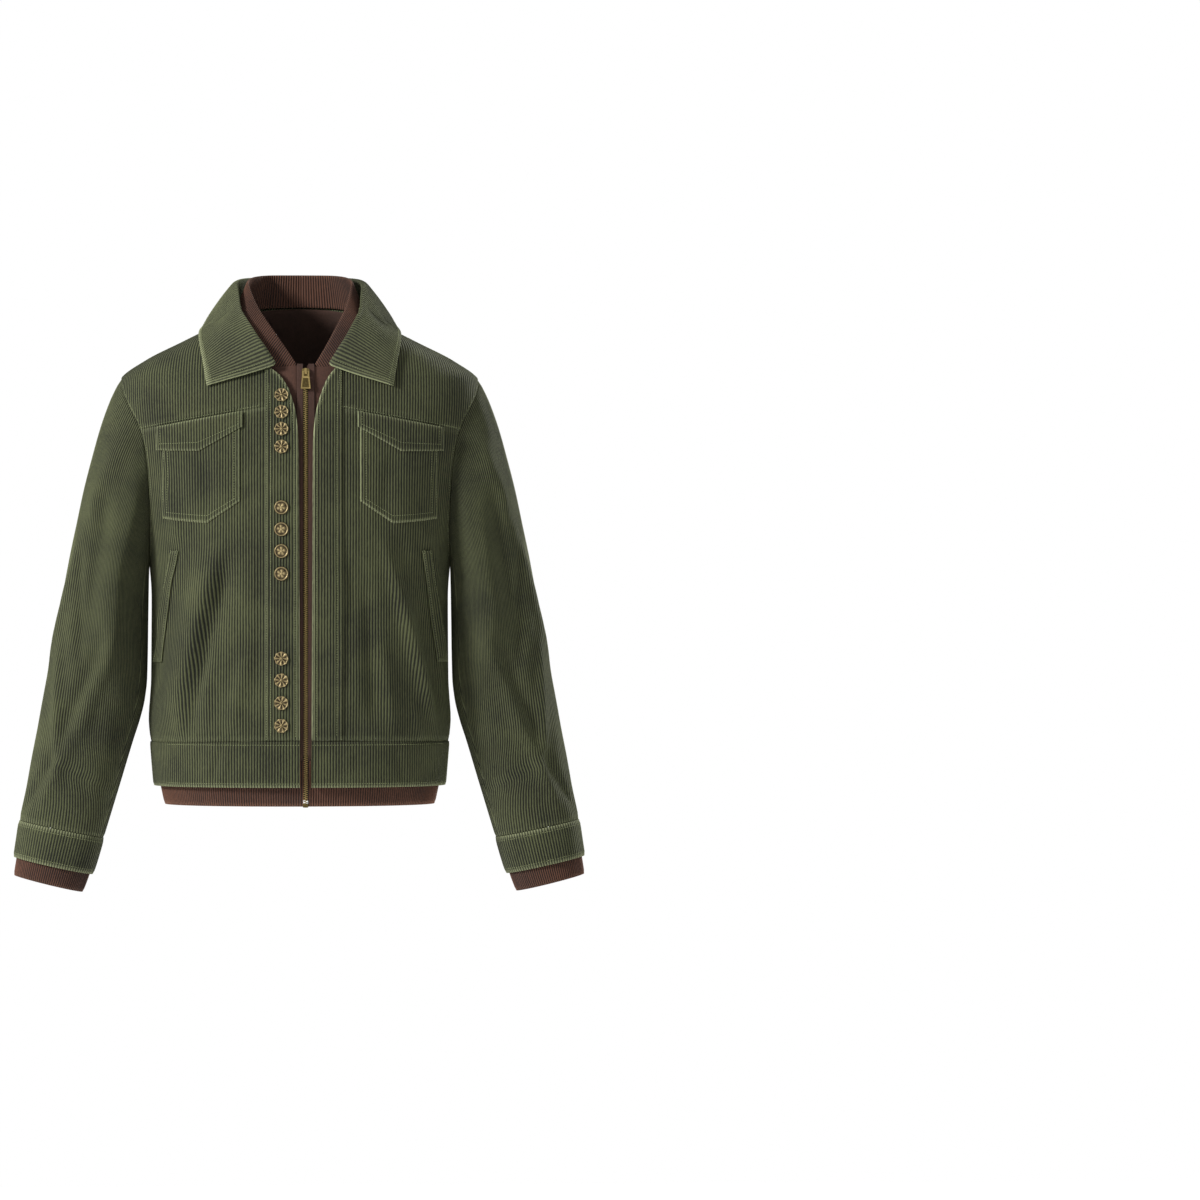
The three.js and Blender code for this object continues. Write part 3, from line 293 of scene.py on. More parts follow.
def curve_through(at, value):
    at = np.array(at, float)
    value = np.array(value, float)
    rise = np.diff(value) / np.diff(at)
    slope = np.empty_like(value)
    slope[0] = rise[0]
    slope[-1] = rise[-1]
    product = rise[:-1] * rise[1:]
    total = rise[:-1] + rise[1:]
    slope[1:-1] = np.where(product > 0, 2 * product / np.where(product > 0, total, 1), 0)

    def height(place):
        x = np.clip(np.asarray(place, float), at[0], at[-1])
        i = np.clip(np.searchsorted(at, x, side="right") - 1, 0, len(at) - 2)
        span = at[i + 1] - at[i]
        f = (x - at[i]) / span
        g = 1 - f
        ends = value[i] * g * g * (1 + 2 * f) + value[i + 1] * f * f * (3 - 2 * f)
        return ends + span * f * g * (slope[i] * g - slope[i + 1] * f)

    return height


def curves_through(at, rows):
    return [curve_through(at, row) for row in rows]


def ramp(x):
    f = np.clip(x, 0, 1)
    return f * f * (3 - 2 * f)


def mix(a, b, f):
    return a + (b - a) * f


def hump(x):
    """A soft rise of height 1 at 0, which is nearly gone at 2."""
    return np.exp(-x * x)


def fading(distance, reach, most):
    """A wear that is at its most on the rim and fades away from it."""
    return most * np.exp(-distance / reach)


body_width = curve_through(BODY_RINGS["z"], BODY_RINGS["width"])
body_front = curve_through(BODY_RINGS["z"], BODY_RINGS["front"])
body_back = curve_through(BODY_RINGS["z"], BODY_RINGS["back"])
armhole_x = curve_through([-300, -290, -254, -203, -156, -134, -99, -85, -75],
                          [189, 188.4, 187.5, 189, 195, 202, 219, 223.5, 224])
EDGE_Z = [-600, -352, -165, -125, -97, -77, -66, -59.5, -57.5]
edge_gap = curve_through(EDGE_Z, [7, 7.8, 8.5, 11.5, 18.6, 28, 38, 48, 54])
edge_centre = curve_through(EDGE_Z, [7, 7, 7, 7, 7, 6, 4, 3, 2])

# %% [markdown]
# Large folds come from the way the cloth hangs over the chest and blouses above the waistband.
# Each is a soft ridge or trough along a line. The first rows repeat the folds of the solids,
# and the rest are smaller creases that only show here.

# %% Folds: face, top x, top z, end x, end z, height, spread
FOLDS = [
    (-1, -104, -262, -168, -520, 8, 15), (-1, -84, -285, -128, -465, -6, 13),
    (-1, 119, -290, 168, -505, 7, 14), (-1, 142, -320, 181, -500, -6, 12),
    (-1, 40, -270, 70, -515, 3, 18),
    (1, 66, -150, 95, -480, 8, 20), (1, 36, -165, 46, -470, -6, 16),
    (1, -14, -160, -18, -510, 7, 20), (1, -62, -155, -84, -480, -6.5, 18),
    (1, -112, -240, -136, -510, 7, 18),
]
FINE_FOLDS = [
    (-1, 98, -262, 170, -524, 5.0, 7), (-1, 114, -275, 184, -524, -3.6, 6),
    (-1, -98, -272, -158, -524, 5.0, 8), (-1, -86, -280, -140, -524, -3.0, 7),
    (-1, -150, -300, -178, -400, 3.0, 7), (-1, -60, -400, -90, -524, 3.2, 10),
    (-1, 96, -380, 118, -524, 3.4, 9), (-1, 150, -250, 176, -330, 3.0, 8),
    (-1, -168, -190, -150, -290, 2.6, 8), (-1, -48, -250, -52, -500, -1.8, 8),
    (-1, 58, -250, 60, -500, -2.2, 8), (-1, -140, -470, -150, -527, 3.2, 7),
    (-1, 140, -480, 150, -527, 3.0, 7), (-1, 80, -300, 92, -527, -2.6, 9),
    (-1, -100, -280, -120, -527, 3.0, 8), (-1, 120, -260, 160, -420, -2.4, 8),
    (-1, -184, -330, -170, -500, -2.2, 7), (-1, 168, -300, 182, -480, 2.4, 6),
    (-1, -120, -150, -112, -260, -1.8, 9), (-1, 112, -150, 104, -260, -1.8, 9),
    (1, 130, -200, 150, -420, 3.4, 12), (1, -150, -180, -160, -380, 3.2, 12),
    (1, 70, -440, 82, -524, 3.2, 8), (1, -50, -440, -46, -524, 3.0, 8),
    (1, 120, -470, 128, -524, -3.0, 7), (1, 0, -300, 6, -480, -2.4, 12),
    (1, 165, -250, 172, -440, -2.4, 8), (1, -110, -200, -118, -440, -2.4, 10),
    (1, 40, 0, 60, -110, 1.2, 14), (1, -60, -10, -40, -110, -1.2, 14),
    (1, 90, -330, 100, -500, 2.6, 8), (1, -170, -330, -176, -500, 2.4, 7),
]


def fold_height(x, z, face):
    total = np.zeros(np.shape(x))
    for side, top_x, top_z, end_x, end_z, height, spread in FOLDS + FINE_FOLDS:
        if side != face:
            continue
        v = (top_z - z) / (top_z - end_z)
        across = (x - mix(top_x, end_x, v)) / spread
        total += height * ramp(v / 0.35) * ramp((1.02 - v) / 0.25) * hump(across)
    return total


def puckers(x, z):
    """Small uneven swells of the cloth, from a few crossed waves."""
    return (0.35 * np.sin(x / 13.1 + 0.7 * np.sin(z / 41)) * np.sin(z / 29.3 + 1.1)
            + 0.25 * np.sin(x / 7.3 + z / 53 + 2.0) * np.sin(z / 17.9 + x / 61))


def skin(x, z, face, offset=0.0, folded=True):
    x = np.asarray(x, float)
    z = np.asarray(z, float) + np.zeros_like(x)
    depth_at = body_front if face < 0 else body_back
    width = body_width(z)
    depth = depth_at(z)
    across = np.minimum(np.abs(x) / width, 1)
    along = (1 - across ** ROUNDNESS) ** (1 / ROUNDNESS)
    width_slope = (body_width(z + 1) - body_width(z - 1)) / 2
    depth_slope = (depth_at(z + 1) - depth_at(z - 1)) / 2
    normal = np.stack([
        np.sign(x) * across ** (ROUNDNESS - 1) / width,
        face * along ** (ROUNDNESS - 1) / depth,
        -(across ** ROUNDNESS) * width_slope / width
        - along ** ROUNDNESS * depth_slope / depth], axis=-1)
    normal /= np.linalg.norm(normal, axis=-1, keepdims=True)
    lift = np.zeros_like(x)
    if folded:
        lift = fold_height(x, z, face) + puckers(x, z)
        lift = lift * ramp((0.995 - np.abs(x) / width) / 0.06)
    point = np.stack([np.sign(x) * across * width, face * depth * along, z], axis=-1)
    return point + normal * (lift + offset)[..., None]


# %% [markdown]
# Wales run straight up the cloth, so a point's place across them is its distance round the
# body from the centre line. That distance is summed along each ring once and looked up.

# %% Distance round the body
FORM_LOW_Z = BODY_RINGS["z"][0]
FORM_TOP_Z = BODY_RINGS["z"][-1]
ARC_STEP = 5
ARC_LEVELS = np.arange(FORM_LOW_Z, FORM_TOP_Z + ARC_STEP, ARC_STEP)
ARC_ANGLES = np.linspace(0, math.pi / 2, 181)


def arc_table(face):
    rows = []
    for z in ARC_LEVELS:
        depth = (body_front if face < 0 else body_back)(z)
        x = body_width(z) * np.sin(ARC_ANGLES) ** (2 / ROUNDNESS)
        y = depth * np.cos(ARC_ANGLES) ** (2 / ROUNDNESS)
        steps = np.hypot(np.diff(x), np.diff(y))
        rows.append(np.concatenate([[0], np.cumsum(steps)]))
    return np.array(rows)


ARCS = {-1: arc_table(-1), 1: arc_table(1)}


def distance_round(x, z, face):
    share = np.minimum(np.abs(x) / body_width(z), 1)
    angle = np.arcsin(share ** (ROUNDNESS / 2)) / (math.pi / 2) * (len(ARC_ANGLES) - 1)
    level = (np.clip(z, FORM_LOW_Z, FORM_TOP_Z) - FORM_LOW_Z) / ARC_STEP
    i = np.clip(level.astype(int), 0, len(ARC_LEVELS) - 2)
    j = np.clip(angle.astype(int), 0, len(ARC_ANGLES) - 2)
    f = level - i
    g = angle - j
    table = ARCS[face]
    low = table[i, j] * (1 - g) + table[i, j + 1] * g
    high = table[i + 1, j] * (1 - g) + table[i + 1, j + 1] * g
    return np.sign(x) * (low * (1 - f) + high * f)


# %% [markdown]
# A cut piece is a closed thin wall between two grids of points. Its UV map holds the measure
# across and along the wales in millimetres, and the wear attribute grows towards its rim.

# %% Walls from grids
SEAM = 0.3
made_pieces = {}


def trim_rim(grid, ends_only=False):
    """Pulls the rim of a grid in by half a seam gap."""
    grid = grid.copy()

    def pull(edge, towards):
        step = towards - edge
        length = np.linalg.norm(step, axis=-1, keepdims=True)
        return edge + step * np.minimum(SEAM / 2 / np.maximum(length, 1e-9), 0.5)

    grid[0] = pull(grid[0], grid[1])
    grid[-1] = pull(grid[-1], grid[-2])
    if ends_only:
        return grid
    grid[:, 0] = pull(grid[:, 0], grid[:, 1])
    grid[:, -1] = pull(grid[:, -1], grid[:, -2])
    return grid


def ends_trimmed(grid):
    return trim_rim(grid, ends_only=True)


def run_length(points, axis=0):
    """How far a line has gone on at each of its points, along one axis of a grid."""
    step = np.linalg.norm(np.diff(points, axis=axis), axis=-1)
    start = np.zeros_like(np.take(step, [0], axis=axis))
    return np.concatenate([start, np.cumsum(step, axis=axis)], axis=axis)


def rim_distance(grid, around=False):
    """How far each point is from the piece's rim, along the rows and columns."""
    def along(axis):
        forward = run_length(grid, axis)
        return np.minimum(forward, np.take(forward, [-1], axis=axis) - forward)

    rows = along(0)
    return rows if around else np.minimum(rows, along(1))


def wall(name, outer, inner, uv, material, around=False, wear=None):
    """A closed piece between two grids of points, with its UV map and its wear."""
    rows, columns = outer.shape[:2]
    points = np.concatenate([outer.reshape(-1, 3), inner.reshape(-1, 3)]) * MM
    base = rows * columns
    index = np.arange(base).reshape(rows, columns)
    right = np.roll(index, -1, axis=1) if around else index[:, 1:]
    left = index if around else index[:, :-1]
    quads = [np.stack([left[:-1], right[:-1], right[1:], left[1:]], -1).reshape(-1, 4)]
    quads.append(np.flip(quads[0], axis=1) + base)
    quads.append(np.stack([left[0], left[0] + base, right[0] + base, right[0]], -1))
    quads.append(np.stack([left[-1], right[-1], right[-1] + base, left[-1] + base], -1))
    if not around:
        first, last = index[:, 0], index[:, -1]
        quads.append(np.stack([first[:-1], first[1:], first[1:] + base, first[:-1] + base], -1))
        quads.append(np.stack([last[:-1], last[:-1] + base, last[1:] + base, last[1:]], -1))
    faces = np.concatenate(quads)
    a, b, c, d = (points[faces[:, k]] for k in range(4))
    volume = (a * np.cross(b, c)).sum() + (a * np.cross(c, d)).sum()
    if volume < 0:
        faces = np.flip(faces, axis=1)
    keeper = np.concatenate([keep_first(outer), keep_first(inner) + base])
    polygons = merged_polygons(keeper[faces])
    used = np.unique(keeper[faces])
    renumber = np.zeros(2 * base, int)
    renumber[used] = np.arange(len(used))
    polygons = [[int(renumber[v]) for v in polygon] for polygon in polygons]
    mesh = bpy.data.meshes.new(name)
    mesh.from_pydata(points[used].tolist(), [], polygons)
    flat = np.concatenate([uv.reshape(-1, 2)] * 2)[used]
    layer = mesh.uv_layers.new(name="cloth")
    loops = np.empty(len(mesh.loops), int)
    mesh.loops.foreach_get("vertex_index", loops)
    layer.uv.foreach_set("vector", flat[loops].astype(np.float32).ravel())
    if wear is None:
        wear = fading(rim_distance(outer, around), 1.5, 0.3)
    tone = mesh.attributes.new("wear", "FLOAT", "POINT")
    tone.data.foreach_set("value", np.concatenate([wear.ravel()] * 2)[used].astype(np.float32))
    mesh.shade_smooth()
    mesh.materials.append(material)
    thing = bpy.data.objects.new(name, mesh)
    bpy.context.collection.objects.link(thing)
    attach(thing, "jacket")
    made_pieces[name] = thing
    return thing


def keep_first(grid):
    """For each point, the first one of its row that lies in the same place."""
    rows, columns = grid.shape[:2]
    column = np.arange(columns)[None, :] + np.zeros((rows, 1), int)
    same = np.zeros((rows, columns), bool)
    same[:, 1:] = np.linalg.norm(np.diff(grid, axis=1), axis=-1) < 1e-6
    first = np.maximum.accumulate(np.where(same, 0, column), axis=1)
    return (first + np.arange(rows)[:, None] * columns).ravel()


def merged_polygons(faces):
    """The faces without repeated corners, and without those left with fewer than three."""
    repeats = (faces == np.roll(faces, 1, axis=1)).any(axis=1)
    repeats |= (faces[:, 0] == faces[:, 2]) | (faces[:, 1] == faces[:, 3])
    whole = faces[~repeats].tolist()
    for face in faces[repeats].tolist():
        corners = list(dict.fromkeys(face))
        if len(corners) > 2:
            whole.append(corners)
    return whole


# %% [markdown]
# Wales are straight rows in the cloth, and a seam cuts across them at a slant. So the columns
# of points follow lines at a quarter of the wales' pitch, and stop where they meet the seam.

# %% Columns that follow the wales


def follow_wales(u, pitch, *values):
    """The rows sampled again at even distances u across the cloth, held within each row."""
    if u[0, 0] > u[0, -1]:
        u = np.flip(u, axis=1)
        values = [np.flip(value, axis=1) for value in values]
    low = u[:, :1] + SEAM / 2
    high = u[:, -1:] - SEAM / 2
    step = pitch / 4
    lines = np.arange(math.floor(low.min() / step), math.ceil(high.max() / step) + 1) * step
    places = np.clip(lines[None, :], low, high)
    sampled = [np.stack([np.interp(p, row_u, row) for p, row_u, row in zip(places, u, value)])
               for value in values]
    return places, *sampled


def wale_height(u, pitch=WALE_PITCH, height=WALE_HEIGHT):
    return height * (0.5 * np.cos(2 * math.pi * u / pitch) - 0.5)


def sewn(node_name):
    """Hides the piece's solid from model.glb, since the mesh made here stands in its place.
    """
    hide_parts(node_name)


def body_wall(name, x, z, face, outside, inside, node_name, wear=None, slanted=False):
    """A corduroy piece on the body, between two offsets from the skin, with its wales."""
    u = distance_round(x, z, face)
    if slanted:
        u = u - u[:, :1]
    u, x, z = follow_wales(u, WALE_PITCH, x, z)
    near_rim = rim_distance(skin(x, z, face))
    roll = 0.7 * hump(near_rim / 0.9) - 0.35 * ramp(near_rim / 1.5) * ramp((7 - near_rim) / 4)
    outer = skin(x, z, face, outside + wale_height(u) - roll)
    inner = skin(x, z, face, inside)
    if wear is not None:
        wear = wear(near_rim, x, z)
    thing = wall(name, ends_trimmed(outer), ends_trimmed(inner), np.stack([u, z], -1), corduroy,
                 wear=wear)
    sewn(node_name)


# %% [markdown]
# The fronts, the back and the yokes meet at the yoke seam and at the armhole edge. Each panel's
# places follow its own seams, close together, so that a wale has four columns of points.

# %% Panel places
SIDES = ((-1, "right"), (1, "left"))
YOKE_SEAM_FRONT = (43, -112.5, -0.175)
YOKE_SEAM_BACK = (0, -114, -0.09)
PANEL_COLUMNS = 121
PANEL_ROWS = 54
YOKE_ROWS = 22


def ring_x(angle, z):
    s = np.sin(angle)
    return np.sign(s) * body_width(z) * np.abs(s) ** (2 / ROUNDNESS)


def ring_angle(x, z):
    share = np.minimum(np.abs(x) / body_width(z), 1)
    return np.sign(x) * np.arcsin(share ** (ROUNDNESS / 2))


def front_edge(side):
    return lambda z: edge_centre(z) + side * edge_gap(z)


def at_x(place):
    """An edge that stays at one x."""
    return lambda z: z * 0 + place


def seam_z(seam, x):
    return seam[1] + (np.abs(x) - seam[0]) * seam[2]


def side_x(z):
    return np.where(z > UNDERARM_Z, armhole_x(z), body_width(z))


def band_seam_z(x, face):
    rise = 3 * (1 - np.abs(x) / 190) * (face < 0)
    return BAND_SEAM_Z + rise - 3


def lower_places(side, start_x, face, seam, columns, rows, low_z=band_seam_z):
    """x and z of a panel below the yoke seam, from its start line out to the side."""
    share = np.linspace(0, 1, columns)[None, :]
    level = np.linspace(0, 2, rows)[:, None]
    x = np.full((rows, columns), side * 100.0)
    for _ in range(6):
        low = mix(low_z(x, face), UNDERARM_Z, np.minimum(level, 1))
        high = mix(UNDERARM_Z, seam_z(seam, x), np.maximum(level - 1, 0))
        z = np.where(level <= 1, low, high)
        from_angle = ring_angle(start_x(z), z)
        to_angle = side * ring_angle(side_x(z), z)
        x = ring_x(mix(from_angle, to_angle, share), z)
    return x, z


NECK_FRONT = curves_through([0, 0.25, 0.5, 0.75, 1],
                            [[54, 68, 78, 84, 88], [-57.5, -44, -28, -11, 5]])
NECK_BACK = curves_through([0, 0.33, 0.66, 1], [[0, 32, 64, 88], [18, 17, 13, 5]])


def yoke_places(side, bottom_x, bottom_z, edge_x, neck, neck_share, rows):
    """x and z above the yoke seam, up to the neckline and then along the shoulder seam."""
    columns = len(bottom_x)
    u = np.linspace(0, 1, columns)
    t = np.minimum(u / neck_share, 1)
    f = np.clip((u - neck_share) / (1 - neck_share), 0, 1)
    shoulder_z = mix(NECK_SIDE_Z, SHOULDER_TIP_Z, f)
    top_z = np.where(u <= neck_share, neck[1](t), shoulder_z)
    top_x = np.where(u <= neck_share, side * neck[0](t), side * body_width(shoulder_z))
    if edge_x:
        top_x[0] = edge_x(top_z[0])
    v = (1 - (1 - np.linspace(0, 1, rows)) ** 2)[:, None]
    z = mix(bottom_z, top_z, v)
    start = edge_x(z[:, :1]) if edge_x else np.zeros((rows, 1))
    start_shift = start - mix(bottom_x[0], top_x[0], v)
    end = side * armhole_x(z[:, -1:])
    end_shift = end - mix(bottom_x[-1], top_x[-1], v)
    x = mix(bottom_x, top_x, v) + start_shift * (1 - u) ** 2 + end_shift * u * u
    return np.sign(x) * np.minimum(np.abs(x), body_width(z)), z


# %% [markdown]
# The corduroy of the fronts and the back is 1.6 mm thick between wales and its ridges stand
# nearly half a millimetre high. The wales are drawn as real ridges, because at the edge of the
# jacket and in raking light a bump map alone looks flat.

# %% Fronts, back and yokes
for side, label in SIDES:
    edge = front_edge(side)
    x, z = lower_places(side, edge, -1, YOKE_SEAM_FRONT, PANEL_COLUMNS, PANEL_ROWS)
    body_wall(f"front-{label}", x, z, -1, WALE_HEIGHT, -CLOTH, f"front_{label}")
    x, z = yoke_places(side, x[-1], z[-1], edge, NECK_FRONT, 5 / 13, YOKE_ROWS)
    body_wall(f"front-yoke-{label}", x, z, -1, WALE_HEIGHT, -CLOTH, f"front_yoke_{label}")
half_back = {}
half_yoke = {}
for side in (-1, 1):
    x, z = lower_places(side, at_x(0), 1, YOKE_SEAM_BACK, PANEL_COLUMNS, PANEL_ROWS)
    half_back[side] = (x, z)
    half_yoke[side] = yoke_places(side, x[-1], z[-1], None, NECK_BACK, 5 / 10, YOKE_ROWS)


def join_halves(halves):
    return [np.concatenate([np.flip(halves[-1][k][:, 1:], axis=1), halves[1][k]], axis=1)
            for k in (0, 1)]


body_wall("back-panel", *join_halves(half_back), 1, WALE_HEIGHT, -CLOTH, "back_panel")
body_wall("back-yoke", *join_halves(half_yoke), 1, WALE_HEIGHT, -CLOTH, "back_yoke")
print("pieces", len(made_pieces))

# %% [markdown]
# The waistband is a folded double strip, so it is stiffer and doesn't follow the folds. Below
# it hangs the brown rib-knit hem of the inner front. Its ribs run up and down too.

# %% Waistband and rib hem
RIB_HEM_START = 2.9
RIB_BACK_LAP = 0.6
# x at the crease's middle, lean, spread, height
BAND_CREASES = [(-104, 16, 4.5, -1.3), (-92, 16, 5, 0.9), (-126, 12, 5, -0.8),
                (122, -12, 5, -1.0), (135, -10, 6, 0.7), (-64, 6, 5, -0.6), (70, -6, 6, -0.6)]


def band_places(side, face, start_x, rows, top_z, low_z, wavy):
    v = np.linspace(0, 1, rows)[:, None]
    share = np.linspace(0, 1, PANEL_COLUMNS)[None, :]
    level = mix(low_z, top_z, v) + 0 * share
    x = ring_x(mix(ring_angle(start_x(level), level), side * math.pi / 2, share), level)
    if wavy:
        return x, mix(low_z, top_z + band_seam_z(x, face) - BAND_SEAM_Z, v)
    return x, level


rib_inset = curve_through([RIB_HEM_Z, BAND_HEM_Z, RIB_TOP_Z], [-12, -8, -4])


def band_wall(name, x, z, face, node_name):
    """The waistband with a little roll at its seam and its hem, and a few slanting puckers."""
    u, x, z = follow_wales(distance_round(x, z, face), WALE_PITCH, x, z)
    v = (z - BAND_HEM_Z) / (BAND_SEAM_Z - BAND_HEM_Z)
    inside = np.sin(math.pi * np.clip(v, 0, 1))
    roll = 1.2 * hump(v / 0.05) + 0.9 * hump((1 - v) / 0.07)
    crease = sum(height * hump((x - middle - lean * (v - 0.5)) / spread)
                 for middle, lean, spread, height in BAND_CREASES)
    swell = 0.35 * np.sin(x / 19 + face)
    outside = 1.5 - roll + (crease + swell) * inside
    outer = ends_trimmed(skin(x, z, face, outside + wale_height(u), False))
    inner = ends_trimmed(skin(x, z, face, -3.4, False))
    thing = wall(name, outer, inner, np.stack([u, z], -1), corduroy,
                 wear=fading(z - z.min(axis=0), 1.6, 0.9))
    sewn(node_name)


def rib_wall(name, side, node_name):
    """Half of the rib hem, from the zip round to the back centre."""
    fx, fz = band_places(side, -1, at_x(OPENING_X + side * RIB_HEM_START), 11, RIB_TOP_Z,
                         RIB_HEM_Z, False)
    bx, bz = band_places(side, 1, at_x(-side * RIB_BACK_LAP), 11, RIB_TOP_Z, RIB_HEM_Z, False)
    fu = side * distance_round(fx, fz, -1)
    bu = np.abs(distance_round(bx, bz, 1))
    bu = fu[:, -1:] + bu[:, -1:] - np.flip(bu, axis=1)[:, 1:]
    u = np.concatenate([fu, bu], axis=1)
    x = np.concatenate([fx, np.flip(bx, axis=1)[:, 1:]], axis=1)
    z = np.concatenate([fz, bz[:, 1:]], axis=1)
    is_back = (np.arange(u.shape[1])[None, :] >= PANEL_COLUMNS) + 0 * u
    u, x, z, is_back = follow_wales(u, RIB_PITCH, x, z, is_back)
    behind = (is_back > 0.5)[..., None]
    middle = rib_inset(z)
    ribs = wale_height(u, RIB_PITCH, 0.9)
    roll = 0.8 * hump((z - RIB_HEM_Z) / 1.6)

    def at(offset):
        return ends_trimmed(np.where(behind, skin(x, z, 1, offset, False),
                                     skin(x, z, -1, offset, False)))

    outer = at(middle + 0.4 + ribs - roll)
    inner = at(middle - 2.4 + roll * 0.5)
    thing = wall(name, outer, inner, np.stack([u, z], -1), rib_knit,
                 wear=fading(np.abs(z - RIB_HEM_Z), 2, 0.8))
    sewn(node_name)


for side, label in SIDES:
    x, z = band_places(side, -1, front_edge(side), 14, BAND_SEAM_Z, BAND_HEM_Z, True)
    band_wall(f"waistband-{label}", x, z, -1, f"waistband_{label}")
    rib_wall(f"rib-hem-{label}", side, f"rib_hem_{label}")
halves = {side: band_places(side, 1, at_x(0), 14, BAND_SEAM_Z, BAND_HEM_Z, True)
          for side in (-1, 1)}
band_wall("waistband-back", *join_halves(halves), 1, "waistband_back")

# %% [markdown]
# The brown inner body shows only in the neck and in the opening. Its places follow the same
# seams, farther in, with slack away from the zip.

# %% Inner body
NECK_INNER = curves_through([0, 0.2, 0.4, 0.6, 0.8, 1],
                            [[3.4, 24, 45, 64, 79, 88], [-58, -60, -58, -44, -18, 5]])


def inner_lift(x, z):
    away = ramp((np.abs(x - OPENING_X) - 18) / 40)
    return -5 - 11 * away * ramp((-95 - z) / 60) * ramp((z - RIB_TOP_Z) / 30)


def whole_panel(side, start_x, face, seam, edge_x, neck, columns):
    x, z = lower_places(side, start_x, face, seam, columns, 50, lambda x, face: x * 0 + RIB_TOP_Z)
    yoke_x, yoke_z = yoke_places(side, x[-1], z[-1], edge_x, neck, 0.5, 24)
    return np.concatenate([x, yoke_x[1:]]), np.concatenate([z, yoke_z[1:]])


def inner_wall(name, x, z, face, node_name, cloth=neck_shaded_cloth):
    u = distance_round(x, z, face)
    outer = trim_rim(skin(x, z, face, inner_lift(x, z), False))
    inner = trim_rim(skin(x, z, face, inner_lift(x, z) - 1.5, False))
    thing = wall(name, outer, inner, np.stack([u, z], -1), cloth)
    sewn(node_name)


for side, label in SIDES:
    edge = at_x(OPENING_X + side * 3.6)
    x, z = whole_panel(side, edge, -1, YOKE_SEAM_FRONT, edge, NECK_INNER, 41)
    inner_wall(f"inner-front-{label}", x, z, -1, f"inner_front_{label}", front_cloth)
halves = {side: whole_panel(side, at_x(0), 1, YOKE_SEAM_BACK, None, NECK_BACK, 37)
          for side in (-1, 1)}
# The inner back takes the brown cloth with painted shade.
inner_wall("inner-back", *join_halves(halves), 1, "inner_back")
print("pieces", len(made_pieces))

# %% [markdown]
# A sleeve is made of two lengths: the top sleeve, and the under sleeve behind it. Their rings
# run from the armhole to the cuff. The angle goes round the arm from the outside, 90 degrees is
# behind and -90 in front. The seams start at the armhole and turn with the forearm.

# %% Sleeve form
sleeve_outer = curve_through(
    [-696, -674, -628, -577, -527, -477, -402, -302, -202, -152, -102, -85, -75],
    [361, 357.5, 350.5, 340, 331, 322, 308, 289, 267.5, 255, 238, 230, 224.5])
sleeve_inner = curve_through(
    [-719, -696, -650, -577, -527, -502, -477, -450, -400, -325, -300],
    [268.5, 260, 246, 224, 209, 201, 195, 192, 191, 190.6, 189.8])
sleeve_depth = curve_through([0, 0.1, 0.35, 0.65, 1, 1.16], [57, 62, 62, 54, 41, 39])
sleeve_forward = curve_through([0, 0.1, 0.35, 0.65, 1, 1.16], [0, -1, -4, -8, -14, -16])
CUFF_SEAM = (-628, -650)
CUFF_END = (-674, -696)
RIB_CUFF_END = (-696, -719)
BACK_SEAM = (98, 73)
UNDER_SEAM = (-139, -160)
UNDER_SEAM_ROUND = (221, 200)

SLEEVE_FOLD_DEPTH = 1.35
# angle at the start, turn, start, end, height, spread
SLEEVE_FOLDS = [
    (-90, -10, 0.02, 0.62, 5, 15), (-62, -4, 0.12, 0.6, -4, 13), (-128, 0, 0, 0.3, -4, 14),
    (84, -8, 0.1, 0.7, 4, 18), (30, 0, 0.35, 0.9, -3, 18),
    (-40, 30, 0.25, 0.7, 3.2, 9), (-110, 30, 0.35, 0.75, 3.4, 8), (-20, -60, 0.5, 0.95, 3.0, 9),
    (-100, 50, 0.6, 1.0, 3.2, 8), (60, -40, 0.5, 0.98, 3.0, 10), (110, 30, 0.3, 0.8, 3.0, 9),
    (130, -40, 0.02, 0.4, 3.0, 9), (-75, 60, 0.78, 1.0, -2.4, 8), (-60, 20, 0.02, 0.3, 3.0, 9),
    (-30, -40, 0.3, 0.62, -2.6, 9), (-95, 40, 0.45, 0.85, -3.0, 8), (70, 30, 0.1, 0.5, -2.6, 9),
]


def sleeve_point(side, angle, outer_z, inner_z, depth, forward):
    turn = np.radians(angle)
    f = (1 - np.cos(turn)) / 2
    x = side * mix(sleeve_outer(outer_z), sleeve_inner(inner_z), f)
    return np.stack([x, forward + depth * np.sin(turn), mix(outer_z, inner_z, f)], axis=-1)


def sleeve_fold(angle, s):
    total = np.zeros(np.broadcast(angle, s).shape)
    around = np.where(angle > 180, angle - 360, angle)
    for at, turn, start, end, height, spread in SLEEVE_FOLDS:
        v = (s - start) / (end - start)
        across = (around - at - turn * v) / spread
        height = SLEEVE_FOLD_DEPTH * height
        total += height * ramp(v / 0.3) * ramp((1 - v) / 0.3) * hump(across)
    ripple = 0.4 * np.sin(s * 31 + around / 17) * np.sin(around / 11 + s * 9)
    return total + ripple * ramp(s / 0.1) * ramp((1 - s) / 0.1)


